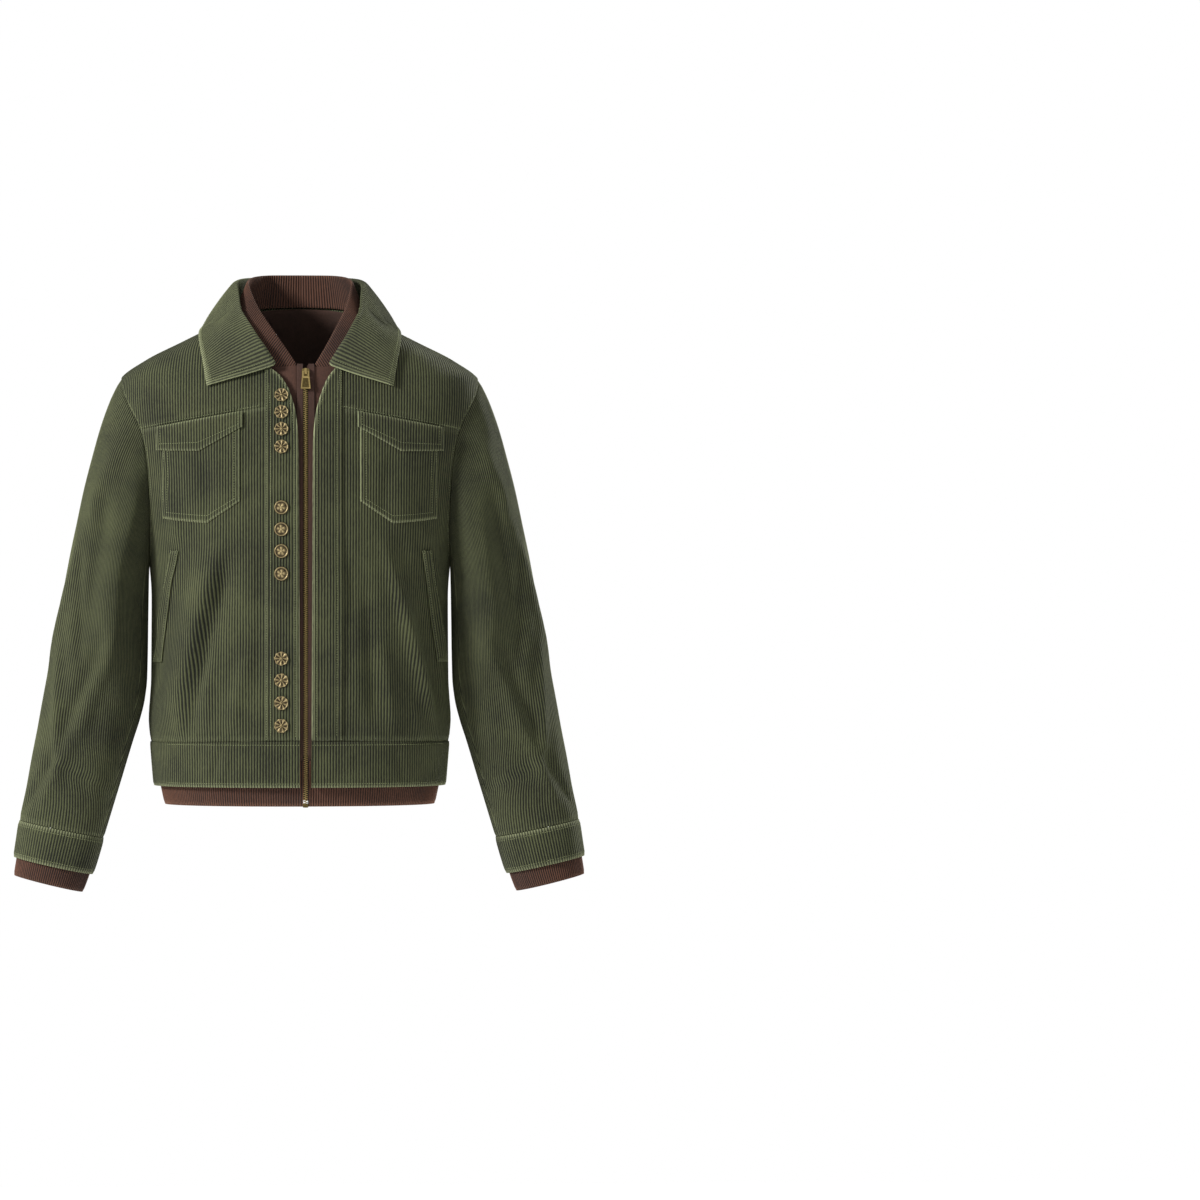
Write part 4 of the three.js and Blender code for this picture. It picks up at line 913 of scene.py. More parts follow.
def sleeve_grid(side, start, end, s):
    """Points on the sleeve's skin: columns by their angles at both ends, rows by s."""
    start = np.asarray(start, float)[None, :]
    end = np.asarray(end, float)[None, :]
    s = np.asarray(s, float)[:, None]
    outer_z = mix(SHOULDER_TIP_Z, CUFF_SEAM[0], s) + 0 * start
    inner_z = mix(UNDERARM_Z, CUFF_SEAM[1], s) + 0 * start
    angle = mix(start, end, s)
    point = sleeve_point(side, angle, outer_z, inner_z, sleeve_depth(s), sleeve_forward(s))
    rest = sleeve_point(side, start, SHOULDER_TIP_Z, UNDERARM_Z, sleeve_depth(0), 0)
    wrapped = np.where(start > 180, start - 360, start)
    edge_z = -187.5 + 112.5 * np.cos(np.radians(wrapped))
    edge_x = side * armhole_x(edge_z)
    edge = np.where((wrapped < 0)[..., None], skin(edge_x, edge_z, -1), skin(edge_x, edge_z, 1))
    fold = sleeve_fold(angle, s)
    turn = np.radians(angle)
    point[..., 1] += np.sin(turn) * fold
    point[..., 0] += side * np.maximum(np.cos(turn), 0) * fold
    return point + (edge - rest) * (1 - ramp(s / 0.3))[..., None]


def outward(grid, side):
    """Unit normals of a grid. side turns those of a sleeve away from its arm."""
    normal = np.cross(np.gradient(grid, axis=0), np.gradient(grid, axis=1)) * side
    return unit(normal)


def unit(vector):
    return vector / np.maximum(np.linalg.norm(vector, axis=-1, keepdims=True), 1e-9)


# %% [markdown]
# The grain of each sleeve length is a straight line down its middle, and its wales are parallel
# to it. So the measure across the cloth is taken from that line at every ring.

# %% Sleeves
SLEEVE_ROWS = np.linspace(0, 1, 66)
SLEEVE_COLUMNS = np.linspace(0, 1, 181)


def sleeve_wall(name, side, start, end, grain, node_name):
    """One length of a sleeve between two seams, each an angle at the armhole and at the cuff.

    grain is the share of its width where its straight grain runs.
    """
    rough = sleeve_grid(side, mix(start[0], end[0], SLEEVE_COLUMNS),
                        mix(start[1], end[1], SLEEVE_COLUMNS), SLEEVE_ROWS)
    arc = run_length(rough, 1)
    u = arc - arc[:, [int(grain * (rough.shape[1] - 1))]]
    normal = outward(rough, side)
    sample = [rough[..., k] for k in range(3)] + [normal[..., k] for k in range(3)]
    u, *sample = follow_wales(u, WALE_PITCH, *sample)
    base = np.stack(sample[:3], -1)
    away = np.stack(sample[3:], -1)
    roll = 0.7 * hump(rim_distance(base) / 0.9)
    outer = ends_trimmed(base + away * (WALE_HEIGHT + wale_height(u) - roll)[..., None])
    inner = ends_trimmed(base - away * CLOTH)
    length = np.linspace(0, 560, len(base))[:, None] + 0 * u
    thing = wall(name, outer, inner, np.stack([u, length], -1), corduroy)
    sewn(node_name)


for side, label in SIDES:
    sleeve_wall(f"top-sleeve-{label}", side, UNDER_SEAM, BACK_SEAM, 0.55, f"sleeve_top_{label}")
    sleeve_wall(f"under-sleeve-{label}", side, BACK_SEAM, UNDER_SEAM_ROUND, 0.45,
                f"sleeve_under_{label}")

# %% [markdown]
# Each cuff is a stiff folded band, open at the back seam. The brown rib of the inner sleeve is
# a closed tube inside it, and shows below its edge.

# %% Cuffs
CUFF_START = (CUFF_SEAM[0] - 0.4, CUFF_SEAM[1] - 0.4)
RIB_CUFF_START = (CUFF_END[0] + 22, CUFF_END[1] + 22)
CUFF_ROWS = 10


def cuff_ring(side, start, end, steps, angles, offset):
    f = np.linspace(0, 1, steps)[:, None]
    outer_z = mix(start[0], end[0], f) + 0 * angles
    inner_z = mix(start[1], end[1], f) + 0 * angles
    s = 1 + (CUFF_SEAM[0] - outer_z) / (SHOULDER_TIP_Z - CUFF_SEAM[0])
    tilt = np.arctan2(outer_z - inner_z, sleeve_outer(outer_z) - sleeve_inner(inner_z))
    turn = np.radians(angles)
    point = sleeve_point(side, angles, outer_z, inner_z, sleeve_depth(s), sleeve_forward(s))
    point[..., 0] += side * np.cos(turn) * np.cos(tilt) * offset
    point[..., 2] += np.cos(turn) * np.sin(tilt) * offset
    point[..., 1] += np.sin(turn) * offset
    return point


def even_places(fine, line, pitch):
    """Values of fine a quarter of a pitch apart along its line, and how far on each of them is."""
    arc = run_length(line)
    count = 4 * round(arc[-1] / pitch)
    places = np.interp(np.linspace(0, arc[-1], count + 1), arc, fine)
    return places, np.arange(count + 1) * pitch / 4


def even_angles(side, pitch, first, last):
    fine = np.linspace(first, last, 721)
    ring = cuff_ring(side, CUFF_SEAM, CUFF_END, 2, fine[None, :], 0)[0]
    angles, u = even_places(fine, ring, pitch)
    return angles[None, :], u[None, :]


v = np.linspace(0, 1, CUFF_ROWS)[:, None]
for side, label in SIDES:
    angles, u = even_angles(side, WALE_PITCH, BACK_SEAM[1] + 1.2, BACK_SEAM[1] + 358.8)
    u = u + 0 * v
    roll = 1.1 * hump(v / 0.09) + 1.1 * hump((1 - v) / 0.07)
    swell = 0.4 * np.sin(u / 13) * np.sin(math.pi * v)
    outside = 1.5 + wale_height(u) - roll + swell
    outer = cuff_ring(side, CUFF_START, CUFF_END, CUFF_ROWS, angles, outside)
    inner = cuff_ring(side, CUFF_START, CUFF_END, CUFF_ROWS, angles, -2.4)
    thing = wall(f"cuff-{label}", outer, inner, np.stack([u, v * 46 + 0 * u], -1), corduroy,
                 wear=fading(rim_distance(outer), 1.6, 0.9))
    sewn(f"cuff_{label}")
    angles, u = even_angles(side, RIB_PITCH, BACK_SEAM[1], BACK_SEAM[1] + 360)
    angles = angles[:, :-1]
    u = u[:, :-1] + 0 * v
    roll = 0.8 * hump((1 - v) / 0.06)
    outside = wale_height(u, RIB_PITCH, 0.8) - 3.0 - roll
    outer = cuff_ring(side, RIB_CUFF_START, RIB_CUFF_END, CUFF_ROWS, angles, outside)
    inner = cuff_ring(side, RIB_CUFF_START, RIB_CUFF_END, CUFF_ROWS, angles, -5.6 + roll * 0.5)
    thing = wall(f"rib-cuff-{label}", outer, inner, np.stack([u, v * 45 + 0 * u], -1), rib_knit,
                 around=True)
    sewn(f"rib_cuff_{label}")
print("pieces", len(made_pieces))

# %% [markdown]
# The collar is cut with its wales across it. It stands up from the neck seam, turns over at the
# fold and falls to a free edge. Stations along the neck give the seam, the fold and the edge,
# and a rounded profile joins them.

# %% Collar
COLLAR_T = [0, 0.2, 0.4, 0.55, 0.7, 0.85, 1]
COLLAR_ROWS = {
    "seam": ([0, 38, 70, 88, 83, 70, 54], [70, 65, 42, 0, -51, -69, -80],
             [18, 16.5, 12, 5, -14, -41, -57.5]),
    "fold": ([0, 38, 67, 78, 74, 57, 34], [76, 69, 44, 10, -30, -66, -87],
             [57, 56, 52, 45, 15, -20, -57]),
    "edge": ([0, 58, 100, 122, 122, 119.5, 116], [90, 82, 55, 6, -40, -71, -90],
             [11, 7, 1, -9, -33, -60, -86]),
}
collar_line = {key: curves_through(COLLAR_T, rows) for key, rows in COLLAR_ROWS.items()}
COLLAR_CLEARANCE = 4.6
COLLAR_STITCH = 5.5


def station(lines, t, centre):
    side = np.where(t < 0, -1, 1)
    t = np.abs(t)
    return np.stack([side * lines[0](t) + centre, lines[1](t), lines[2](t)], -1)


def beyond_form(p):
    """Over 0 outside the body's form and under 0 inside it."""
    depth = np.where(p[..., 1] < 0, body_front(p[..., 2]), body_back(p[..., 2]))
    return (np.abs(p[..., 0]) / body_width(p[..., 2])) ** ROUNDNESS + (
        np.abs(p[..., 1]) / depth) ** ROUNDNESS - 1


def clear_of_skin(point):
    """Moves points out until they are clear of the body's skin, in two rounds."""
    for _ in range(2):
        slope = np.stack([beyond_form(point + step) - beyond_form(point - step)
                          for step in np.eye(3) * 0.5], -1)
        distance = beyond_form(point) / np.linalg.norm(slope, axis=-1)
        point = point + unit(slope) * np.maximum(COLLAR_CLEARANCE - distance, 0)[..., None]
    return point


def smooth_profile(points, count):
    """Each row of a few points, sampled again along a smooth curve through them."""
    knots = points.shape[1]
    slope = np.gradient(points, axis=1)
    place = np.linspace(0, knots - 1, count)
    i = np.minimum(place.astype(int), knots - 2)
    f = (place - i)[None, :, None]
    g = 1 - f
    return (points[:, i] * g * g * (1 + 2 * f) + points[:, i + 1] * f * f * (3 - 2 * f)
            + f * g * (slope[:, i] * g - slope[:, i + 1] * f))


def collar_profile(t, count):
    centre = 3 * ramp((np.abs(t) - 0.6) / 0.4)
    seam = station(collar_line["seam"], t, centre)
    fold = station(collar_line["fold"], t, centre)
    edge = station(collar_line["edge"], t, 0)
    up = unit(fold - seam)
    down = unit(edge - fold)
    out = up + down
    out = unit(out - 0.5 * up * (out * up).sum(-1, keepdims=True))
    start = seam + 3 * up - 0.9 * out
    fall = fold + 5.6 * out + 5 * down
    rows = [start, mix(start, fold, 0.5), fold - 5 * up, fold - 1.2 * up + 0.5 * out,
            fold + 0.4 * up + 2.6 * out, fold - 0.6 * up + 4.9 * out, fall,
            clear_of_skin(mix(fall, edge, 0.33) + 1.2 * out),
            clear_of_skin(mix(fall, edge, 0.67) + out), clear_of_skin(edge)]
    return smooth_profile(np.stack(rows, 1), count)


def even_stations(profile, column, pitch):
    """Stations a quarter of a pitch apart, measured along one column of the profile."""
    fine = np.linspace(-1, 1, 401)
    return even_places(fine, profile(fine)[:, column], pitch)


stations, u = even_stations(lambda t: collar_profile(t, 10), 8, WALE_PITCH)
middle = collar_profile(stations, 34)
away = outward(middle, 1)
columns = middle.shape[1]
u = u[:, None] + np.zeros((1, columns))
near_rim = rim_distance(middle)
roll = 0.8 * hump(near_rim)
pad = 0.35 * ramp(near_rim / 2) * ramp((6 - near_rim) / 2)
stitch_dip = -0.35 * hump((near_rim - COLLAR_STITCH) / 0.8)
swell = 0.5 * np.sin(u / 17) * np.sin(np.linspace(0, 9, columns))[None, :]
height = 1.45 + wale_height(u) - roll + pad + stitch_dip + swell * ramp(near_rim / 12)
collar = wall("shirt-collar", middle + away * height[..., None],
              middle - away * (1.25 - roll * 0.4)[..., None],
              np.stack([u, run_length(middle, 1)], -1), corduroy,
              wear=fading(near_rim, 2, 0.9) + 0.16)
sewn("collar")
collar_top = middle + away * 1.5
collar_normal = away

# %% [markdown]
# The brown inner collar stands inside the neck. It is rib knit, with its ribs across the band.

# %% Inner collar
inner_seam = curves_through(COLLAR_T, [
    [0, 38, 67, 82, 76, 54, 24], [64.5, 59, 36, 0, -44, -71, -83], [19, 17.5, 13, 4, -13, -49, -80]])
inner_edge = curves_through(COLLAR_T, [
    [0, 34, 57, 65, 56, 34, 12], [66, 59, 35, 8, -25, -60, -76], [60, 59.5, 56, 48, 18, -22, -58]])


def inner_profile(t, count):
    centre = OPENING_X * ramp((np.abs(t) - 0.55) / 0.45)
    f = np.linspace(0, 1, count)[None, :, None]
    line = mix(station(inner_seam, t, centre)[:, None], station(inner_edge, t, centre)[:, None], f)
    line[..., 2] += 0.75 * np.sin(math.pi * f[..., 0])
    return line


stations, u = even_stations(lambda t: inner_profile(t, 5), 3, RIB_PITCH)
middle = inner_profile(stations, 16)
away = outward(middle, 1)
u = u[:, None] + np.zeros((1, middle.shape[1]))
near_edge = np.linalg.norm(middle - middle[:, -1:], axis=-1)
half = 1.5 + wale_height(u, RIB_PITCH, 0.8) - 0.8 * hump(near_edge / 1.5)
half = away * half[..., None]
inner_collar = wall("inner-collar", middle + half, middle - half, np.stack([u, near_edge], -1),
                    rib_knit)
sewn("inner_collar")

# %% [markdown]
# Plackets, chest pockets, their flaps and the side welts are laid on the fronts and sewn down.
# They follow the same folds, so they are moved out from the same skin.

# %% Plackets, pockets and welts


def strip_places(from_x, to_x, columns, low_z, high_z, rows):
    z = np.linspace(low_z, high_z, rows)[:, None] + np.zeros((1, columns))
    return mix(from_x(z), to_x(z), np.linspace(0, 1, columns)[None, :]), z


POCKET_X = [74, 87, 101, 115, 133, 151, 170]
POCKET_LOW = [-230, -239, -248, -257.5, -256, -254, -251]
POCKET_TOP_Z = -139
FLAP_X = [71, 89, 107, 125, 142, 160, 177]
FLAP_LOW = [-138, -148, -158, -168, -167.5, -167, -166]
PLACKET_WIDTH = {-1: 42.5, 1: 37.5}
WELT_LOW_Z = -430
WELT_TOP_Z = -291
outlines = []


def placket_seam(side):
    """Where a placket is sewn to its front, at least 5 mm from the front's edge."""
    straight = OPENING_X + side * (7.5 + PLACKET_WIDTH[side])
    return lambda z: side * np.maximum(side * straight, side * front_edge(side)(z) + 5)


def welt_line(side, shift):
    """A side welt slants outwards on its way down."""
    return lambda z: side * mix(177, 155, (z - WELT_LOW_Z) / (WELT_TOP_Z - WELT_LOW_Z)) + shift


def patch_places(side, xs, lows, high, columns, rows):
    across = np.linspace(xs[0], xs[-1], columns)
    low = np.interp(across, xs, lows)
    high = high(across)
    v = np.linspace(0, 1, rows)[:, None]
    return side * across + 0 * v, mix(low, high, v)


def rubbed_rim(near, x, z):
    """Pockets and flaps are rubbed pale along their whole rim."""
    return fading(near, 1.4, 0.8)


def rubbed_edge(side):
    """A placket is rubbed most on the front's edge."""
    return lambda near, x, z: (fading(np.abs(x - front_edge(side)(z)), 1.4, 1.5)
                               + fading(near, 1.4, 0.25))


def keep_outline(x, z, offset, insets, sides):
    """Remembers where a piece is topstitched, insets inside its rim on the named sides."""
    for inset in insets:
        outlines.append((x, z, offset, inset, sides))


for side, label in SIDES:
    x, z = strip_places(front_edge(side), placket_seam(side), 31, -526.3, -61, 76)
    body_wall(f"placket-{label}", x, z, -1, 2.5, 0.8, f"placket_{label}", rubbed_edge(side))
    keep_outline(x, z, 2.5, (5.5,), ("start",))
    keep_outline(x, z, 2.5, (1.6, 7.0), ("end",))
    x, z = patch_places(side, POCKET_X, POCKET_LOW, lambda x: POCKET_TOP_Z + 0 * x, 41, 24)
    body_wall(f"chest-pocket-{label}", x, z, -1, 2.3, 0.8, f"chest_pocket_{label}", rubbed_rim)
    keep_outline(x, z, 2.3, (1.8, 7.2), ("start", "end", "low"))
    x, z = patch_places(side, FLAP_X, FLAP_LOW, lambda x: seam_z(YOKE_SEAM_FRONT, x) - 1, 41, 14)
    body_wall(f"pocket-flap-{label}", x, z, -1, 4.4, 2.7, f"pocket_flap_{label}", rubbed_rim)
    keep_outline(x, z, 4.4, (5.2,), ("start", "end", "low"))
    x, z = strip_places(welt_line(side, -side * 5), welt_line(side, side * 5), 9, WELT_LOW_Z,
                        WELT_TOP_Z, 30)
    lift = 1.8 if side < 0 else 2.6
    body_wall(f"side-welt-{label}", x, z, -1, lift + 1.6, lift, f"side_welt_{label}",
              slanted=True)
    keep_outline(x, z, lift + 1.6, (1.4,), ("start", "end"))

# %% [markdown]
# The zip's tapes lie under the opening. Small parts sit on the skin at a seat of their own,
# with x to the wearer's left, y up the cloth and z away from it.

# %% Zip tapes and seats
for side, label in SIDES:
    x, z = strip_places(at_x(OPENING_X + side * 3.2), at_x(OPENING_X + side * 11), 9, RIB_TOP_Z,
                        -57, 60)
    u, x, z = follow_wales(distance_round(x, z, -1), TAPE_PITCH, x, z)
    drop = -3.0 - 0.7 * ramp((-495 - z) / 10)
    outer = ends_trimmed(skin(x, z, -1, drop + wale_height(u, TAPE_PITCH, 0.15), False))
    inner = ends_trimmed(skin(x, z, -1, drop - 1, False))
    tape = wall(f"zip-tape-{label}", outer, inner, np.stack([u, z], -1), tape_cloth, wear=0 * u)
    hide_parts(f"zip_tape_{label}")


def seat_on_front(x, z, offset):
    x = np.float64(x)
    origin = skin(x, z, -1, offset, False)
    normal = unit(skin(x, z, -1, offset + 10, False) - origin)
    up = unit(skin(x, z + 4, -1, offset, False) - origin)
    right = unit(np.cross(up, normal))
    return origin, np.stack([right, np.cross(normal, right), normal])


def seated(points, seat):
    return seat[0] + np.asarray(points, float) @ seat[1]


def metal_piece(name, parts, seat, nodes, body="jacket", painted_shade_below=None):
    """One piece of zip brass from closed parts, each a bmesh in the seat's millimetres."""
    whole = bmesh.new()
    for part in parts:
        scratch = bpy.data.meshes.new("part")
        part.to_mesh(scratch)
        part.free()
        whole.from_mesh(scratch)
        bpy.data.meshes.remove(scratch)
    bmesh.ops.recalc_face_normals(whole, faces=whole.faces)
    heights = np.array([vertex.co.z for vertex in whole.verts])
    spread = (heights - heights.min()) / max(np.ptp(heights), 1e-6)
    # Points lower than this height get the darkest tone, as painted shade.
    if painted_shade_below is not None:
        spread = np.where(heights < painted_shade_below, -0.35, spread)
    for vertex in whole.verts:
        vertex.co = seated(vertex.co, seat) * MM
    mesh = bpy.data.meshes.new(name)
    whole.to_mesh(mesh)
    whole.free()
    tone = mesh.attributes.new("wear", "FLOAT", "POINT")
    tone.data.foreach_set("value", (0.25 + 0.6 * spread).astype(np.float32))
    mesh.materials.append(zip_brass)
    thing = bpy.data.objects.new(name, mesh)
    bpy.context.collection.objects.link(thing)
    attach(thing, body)
    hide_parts(*nodes)
    made_pieces[name] = thing


def extruded(outline, low, high, bevel, turn=(0, 1, 2)):
    """A prism on an outline, its edges rounded. turn says which axis each number goes to."""
    part = bmesh.new()
    rings = []
    for level in (low, high):
        ring = []
        for a, b in outline:
            place = [0, 0, 0]
            for axis, value in zip(turn, (a, b, level)):
                place[axis] = value
            ring.append(part.verts.new(place))
        rings.append(ring)
    part.faces.new(rings[0])
    part.faces.new(rings[1][::-1])
    for (a, b), (c, d) in zip(zip(*rings), zip(*[ring[1:] + ring[:1] for ring in rings])):
        part.faces.new([a, c, d, b])
    bmesh.ops.recalc_face_normals(part, faces=part.faces)
    bmesh.ops.bevel(part, geom=part.edges[:], offset=bevel, segments=2, affect="EDGES",
                    clamp_overlap=True)
    return part


# %% [markdown]
# The slider is a die-cast shield with a bridge over it. The pull hangs from the bridge, and its
# plate has a frame round a plain sunken panel. The pull turns, so it rides its own body.

# %% Slider, pull and bottom box
slider_seat = seat_on_front(OPENING_X, -69, -1.9)
shield = [(-4.6, 4.5), (-3.4, 5.4), (3.4, 5.4), (4.6, 4.5), (4.9, 1.0), (4.2, -3.4), (3.2, -5.4),
          (-3.2, -5.4), (-4.2, -3.4), (-4.9, 1.0)]
bridge = [(-4.6, 0.9), (-4.6, 3.4), (-4.0, 4.9), (-2.6, 5.6), (2.6, 5.6), (4.0, 4.9), (4.6, 3.4),
          (4.6, 0.9), (3.2, 0.9), (3.2, 3.2), (2.7, 4.1), (2.0, 4.4), (-2.0, 4.4), (-2.7, 4.1),
          (-3.2, 3.2), (-3.2, 0.9)]
metal_piece("zip-slider", [extruded(shield, -0.6, 1.3, 0.45),
                           extruded(bridge, -1.6, 1.6, 0.35, (1, 2, 0))], slider_seat,
            ["zip_slider", "zip_slider_wing_right", "zip_slider_wing_left"])

PULL_ROWS = [(0.7, 4.0, 2.3), (-0.6, 4.3, 2.3), (-6.2, 4.6, 2.3), (-8.4, 4.8, 3.5),
             (-22.4, 6.1, 4.7), (-24, 6.2, 4.7)]
PULL_THICKNESS = 1.6
PULL_CENTRE = 3.2


def pull_plate():
    part = bmesh.new()
    levels = {}
    for face, height in (("top", PULL_THICKNESS / 2), ("bottom", -PULL_THICKNESS / 2)):
        levels[face] = [[part.verts.new((x, y, PULL_CENTRE + height)) for x in (-w, -c, c, w)]
                        for y, w, c in PULL_ROWS]
    for face, rows in levels.items():
        sink = -0.5 if face == "top" else 0.5
        for i in range(5):
            for j in range(3):
                corners = [rows[i][j], rows[i][j + 1], rows[i + 1][j + 1], rows[i + 1][j]]
                if j == 1 and i == 1:
                    continue
                if j == 1 and i == 3:
                    middle = sum((v.co.copy() for v in corners), corners[0].co * 0) / 4
                    low = [part.verts.new(middle + (v.co - middle) * 0.93) for v in corners]
                    for v in low:
                        v.co.z += sink
                    for k in range(4):
                        part.faces.new([corners[k], corners[(k + 1) % 4], low[(k + 1) % 4], low[k]])
                    corners = low
                part.faces.new(corners)
    top, bottom = levels["top"], levels["bottom"]
    rim = [(0, j) for j in range(4)] + [(i, 3) for i in range(1, 6)]
    rim += [(5, j) for j in (2, 1, 0)] + [(i, 0) for i in range(4, 0, -1)]
    eye = [(1, 1), (1, 2), (2, 2), (2, 1)]
    for loop in (rim, eye):
        for (i, j), (m, n) in zip(loop, loop[1:] + loop[:1]):
            part.faces.new([top[i][j], top[m][n], bottom[m][n], bottom[i][j]])
    bmesh.ops.recalc_face_normals(part, faces=part.faces)
    sharp = [edge for edge in part.edges if edge.calc_face_angle(0) > 0.5]
    bmesh.ops.bevel(part, geom=sharp, offset=0.22, segments=2, affect="EDGES", clamp_overlap=True)
    return part


# The pull's underside and the lower half of its sides are painted dark as shade; on its sunken panel
# the dark is also the antique patina.
metal_piece("zip-pull", [pull_plate()], slider_seat, ["zip_pull"], "pull_tab",
            painted_shade_below=PULL_CENTRE + 0.4)
box_seat = seat_on_front(OPENING_X, RIB_HEM_Z + 1.5, float(rib_inset(RIB_HEM_Z)))
box_outline = [(-2.8, -2.5), (2.8, -2.5), (3.3, -2), (3.3, 2.5), (-3.3, 2.5), (-3.3, -2)]
# The whole box is painted dark, as shade.
metal_piece("zip-box", [extruded(box_outline, -1.7, 1.7, 0.3)], box_seat, ["zip_box"],
            painted_shade_below=9)

# %% [markdown]
# The buttons are cast brass, antiqued so that the hollows stay dark. The middle four are
# low domes with a rim and a small flower, and the other eight are open rosettes of eight
# spokes. Both reliefs are heights on a round grid.

# %% Buttons
BUTTON_Z = [-99, -120, -141, -163, -238, -265, -292, -320, -425, -452, -480, -508]
BUTTON_X = -23
BUTTON_RADIUS = 9
BUTTON_RINGS = np.array([0, 0.07, 0.15, 0.24, 0.33, 0.42, 0.51, 0.6, 0.69, 0.76, 0.82, 0.87,
                         0.92, 0.965, 0.99, 1.0])[:, None]


def button(name, seat, domed, node_name):
    share = BUTTON_RINGS
    angle = np.linspace(0, 2 * math.pi, 73)[None, :-1]
    if domed:
        radius = BUTTON_RADIUS * share + 0 * angle
        petals = 0.5 + 0.5 * np.cos(5 * angle)
        height = (1.1 + 0.5 * (1 - share ** 2) + 0.9 * hump((share - 0.88) / 0.07)
                  + 0.55 * petals * hump((share - 0.38) / 0.2) + 0.5 * hump(share / 0.13))
        shine = ramp((height - 1.35) / 0.7)
    else:
        spokes = np.cos(4 * angle) ** 2
        radius = BUTTON_RADIUS * share * (0.955 + 0.045 * np.cos(8 * angle) * share)
        window = ramp(share / 0.25) * ramp((0.95 - share) / 0.1)
        groove = 0.35 * window * hump(np.sin(8 * angle) / 0.3) * spokes
        height = 2.1 - 1.25 * window * (1 - spokes ** 1.5) + 0.45 * hump(share / 0.16) - groove
        shine = ramp((height - 1.1) / 0.9)
    edge = ramp((1.0 - share) / 0.05)
    height = 0.5 + (height - 0.5) * edge
    x = radius * np.cos(angle)
    y = radius * np.sin(angle)
    local = np.stack([x, y, height], -1)
    under = np.stack([x * 0.97, y * 0.97, 0 * height], -1)
    thing = wall(name, seated(local, seat), seated(under, seat), local[..., :2], button_brass,
                 around=True, wear=shine * (0.3 + 0.6 * edge))
    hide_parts(node_name)


for number, z in enumerate(BUTTON_Z, 1):
    seat = seat_on_front(BUTTON_X, z, 2.8)
    spin = math.radians((number * 37) % 45 - 20)
    turned = np.array([[math.cos(spin), math.sin(spin), 0], [-math.sin(spin), math.cos(spin), 0],
                       [0, 0, 1]])
    button(f"button-{number:02d}", (seat[0], turned @ seat[1]), 5 <= number <= 8,
           f"button_{number:02d}")

# %% [markdown]
# Topstitching and zip teeth are the same thing to build: small copies set along a path, turned
# along it and away from the cloth. The path keeps its outward direction as an attribute, and
# Geometry Nodes spaces the copies.

# %% Copies along a path


def link_copies_group():
    group = bpy.data.node_groups.new("copies along a path", "GeometryNodeTree")
    face = group.interface
    face.new_socket("Path", in_out="INPUT", socket_type="NodeSocketGeometry")
    face.new_socket("Copy", in_out="INPUT", socket_type="NodeSocketObject")
    face.new_socket("Spacing", in_out="INPUT", socket_type="NodeSocketFloat")
    face.new_socket("Material", in_out="INPUT", socket_type="NodeSocketMaterial")
    face.new_socket("Geometry", in_out="OUTPUT", socket_type="NodeSocketGeometry")
    start = node(group, "NodeGroupInput")
    path = node(group, "GeometryNodeMeshToCurve", links={"Mesh": start.outputs["Path"]})
    spaced = node(group, "GeometryNodeResampleCurve", {"mode": "LENGTH"},
                  links={"Curve": path.outputs["Curve"], "Length": start.outputs["Spacing"]})
    tangent = node(group, "GeometryNodeInputTangent")
    away = node(group, "GeometryNodeInputNamedAttribute", {"data_type": "FLOAT_VECTOR"},
                {"Name": "away"})
    along = node(group, "FunctionNodeAlignRotationToVector", {"axis": "X"},
                 links={"Vector": tangent.outputs[0]})
    stand = node(group, "FunctionNodeAlignRotationToVector", {"axis": "Z", "pivot_axis": "X"},
                 links={"Rotation": along.outputs[0], "Vector": away.outputs["Attribute"]})
    shape = node(group, "GeometryNodeObjectInfo", links={"Object": start.outputs["Copy"]})
    copies = node(group, "GeometryNodeInstanceOnPoints",
                  links={"Points": spaced.outputs["Curve"], "Instance": shape.outputs["Geometry"],
                         "Rotation": stand.outputs[0]})
    real = node(group, "GeometryNodeRealizeInstances",
                links={"Geometry": copies.outputs["Instances"]})
    painted = node(group, "GeometryNodeSetMaterial",
                   links={"Geometry": real.outputs["Geometry"],
                          "Material": start.outputs["Material"]})
    end = node(group, "NodeGroupOutput")
    group.links.new(painted.outputs["Geometry"], end.inputs["Geometry"])
    return group


copies_group = link_copies_group()


def copies_along(name, paths, copy, spacing, material, nodes=()):
    """paths is a list of (points, outward directions), in millimetres."""
    points = np.concatenate([path[0] for path in paths]) * MM
    edges = []
    first = 0
    for path in paths:
        count = len(path[0])
        edges += [(first + k, first + k + 1) for k in range(count - 1)]
        first += count
    mesh = bpy.data.meshes.new(name)
    mesh.from_pydata(points.tolist(), edges, [])
    outwards = mesh.attributes.new("away", "FLOAT_VECTOR", "POINT")
    outwards.data.foreach_set("vector", np.concatenate([path[1] for path in paths])
                              .astype(np.float32).ravel())
    thing = bpy.data.objects.new(name, mesh)
    bpy.context.collection.objects.link(thing)
    modifier = thing.modifiers.new("copies", "NODES")
    modifier.node_group = copies_group
    values = {"Copy": copy, "Spacing": spacing * MM, "Material": material}
    for item in copies_group.interface.items_tree:
        if item.name in values:
            modifier[item.identifier] = values[item.name]
    thing.update_tag()
    ready = thing.evaluated_get(bpy.context.evaluated_depsgraph_get())
    made = bpy.data.meshes.new_from_object(ready)
    thing.modifiers.clear()
    thing.data = made
    made.name = name
    tone = made.attributes.new("wear", "FLOAT", "POINT")
    tone.data.foreach_set("value", np.full(len(made.vertices), 0.5, np.float32))
    made.shade_smooth()
    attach(thing, "jacket")
    if nodes:
        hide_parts(*nodes)
    made_pieces[name] = thing
    print(name, "faces", len(made.polygons))


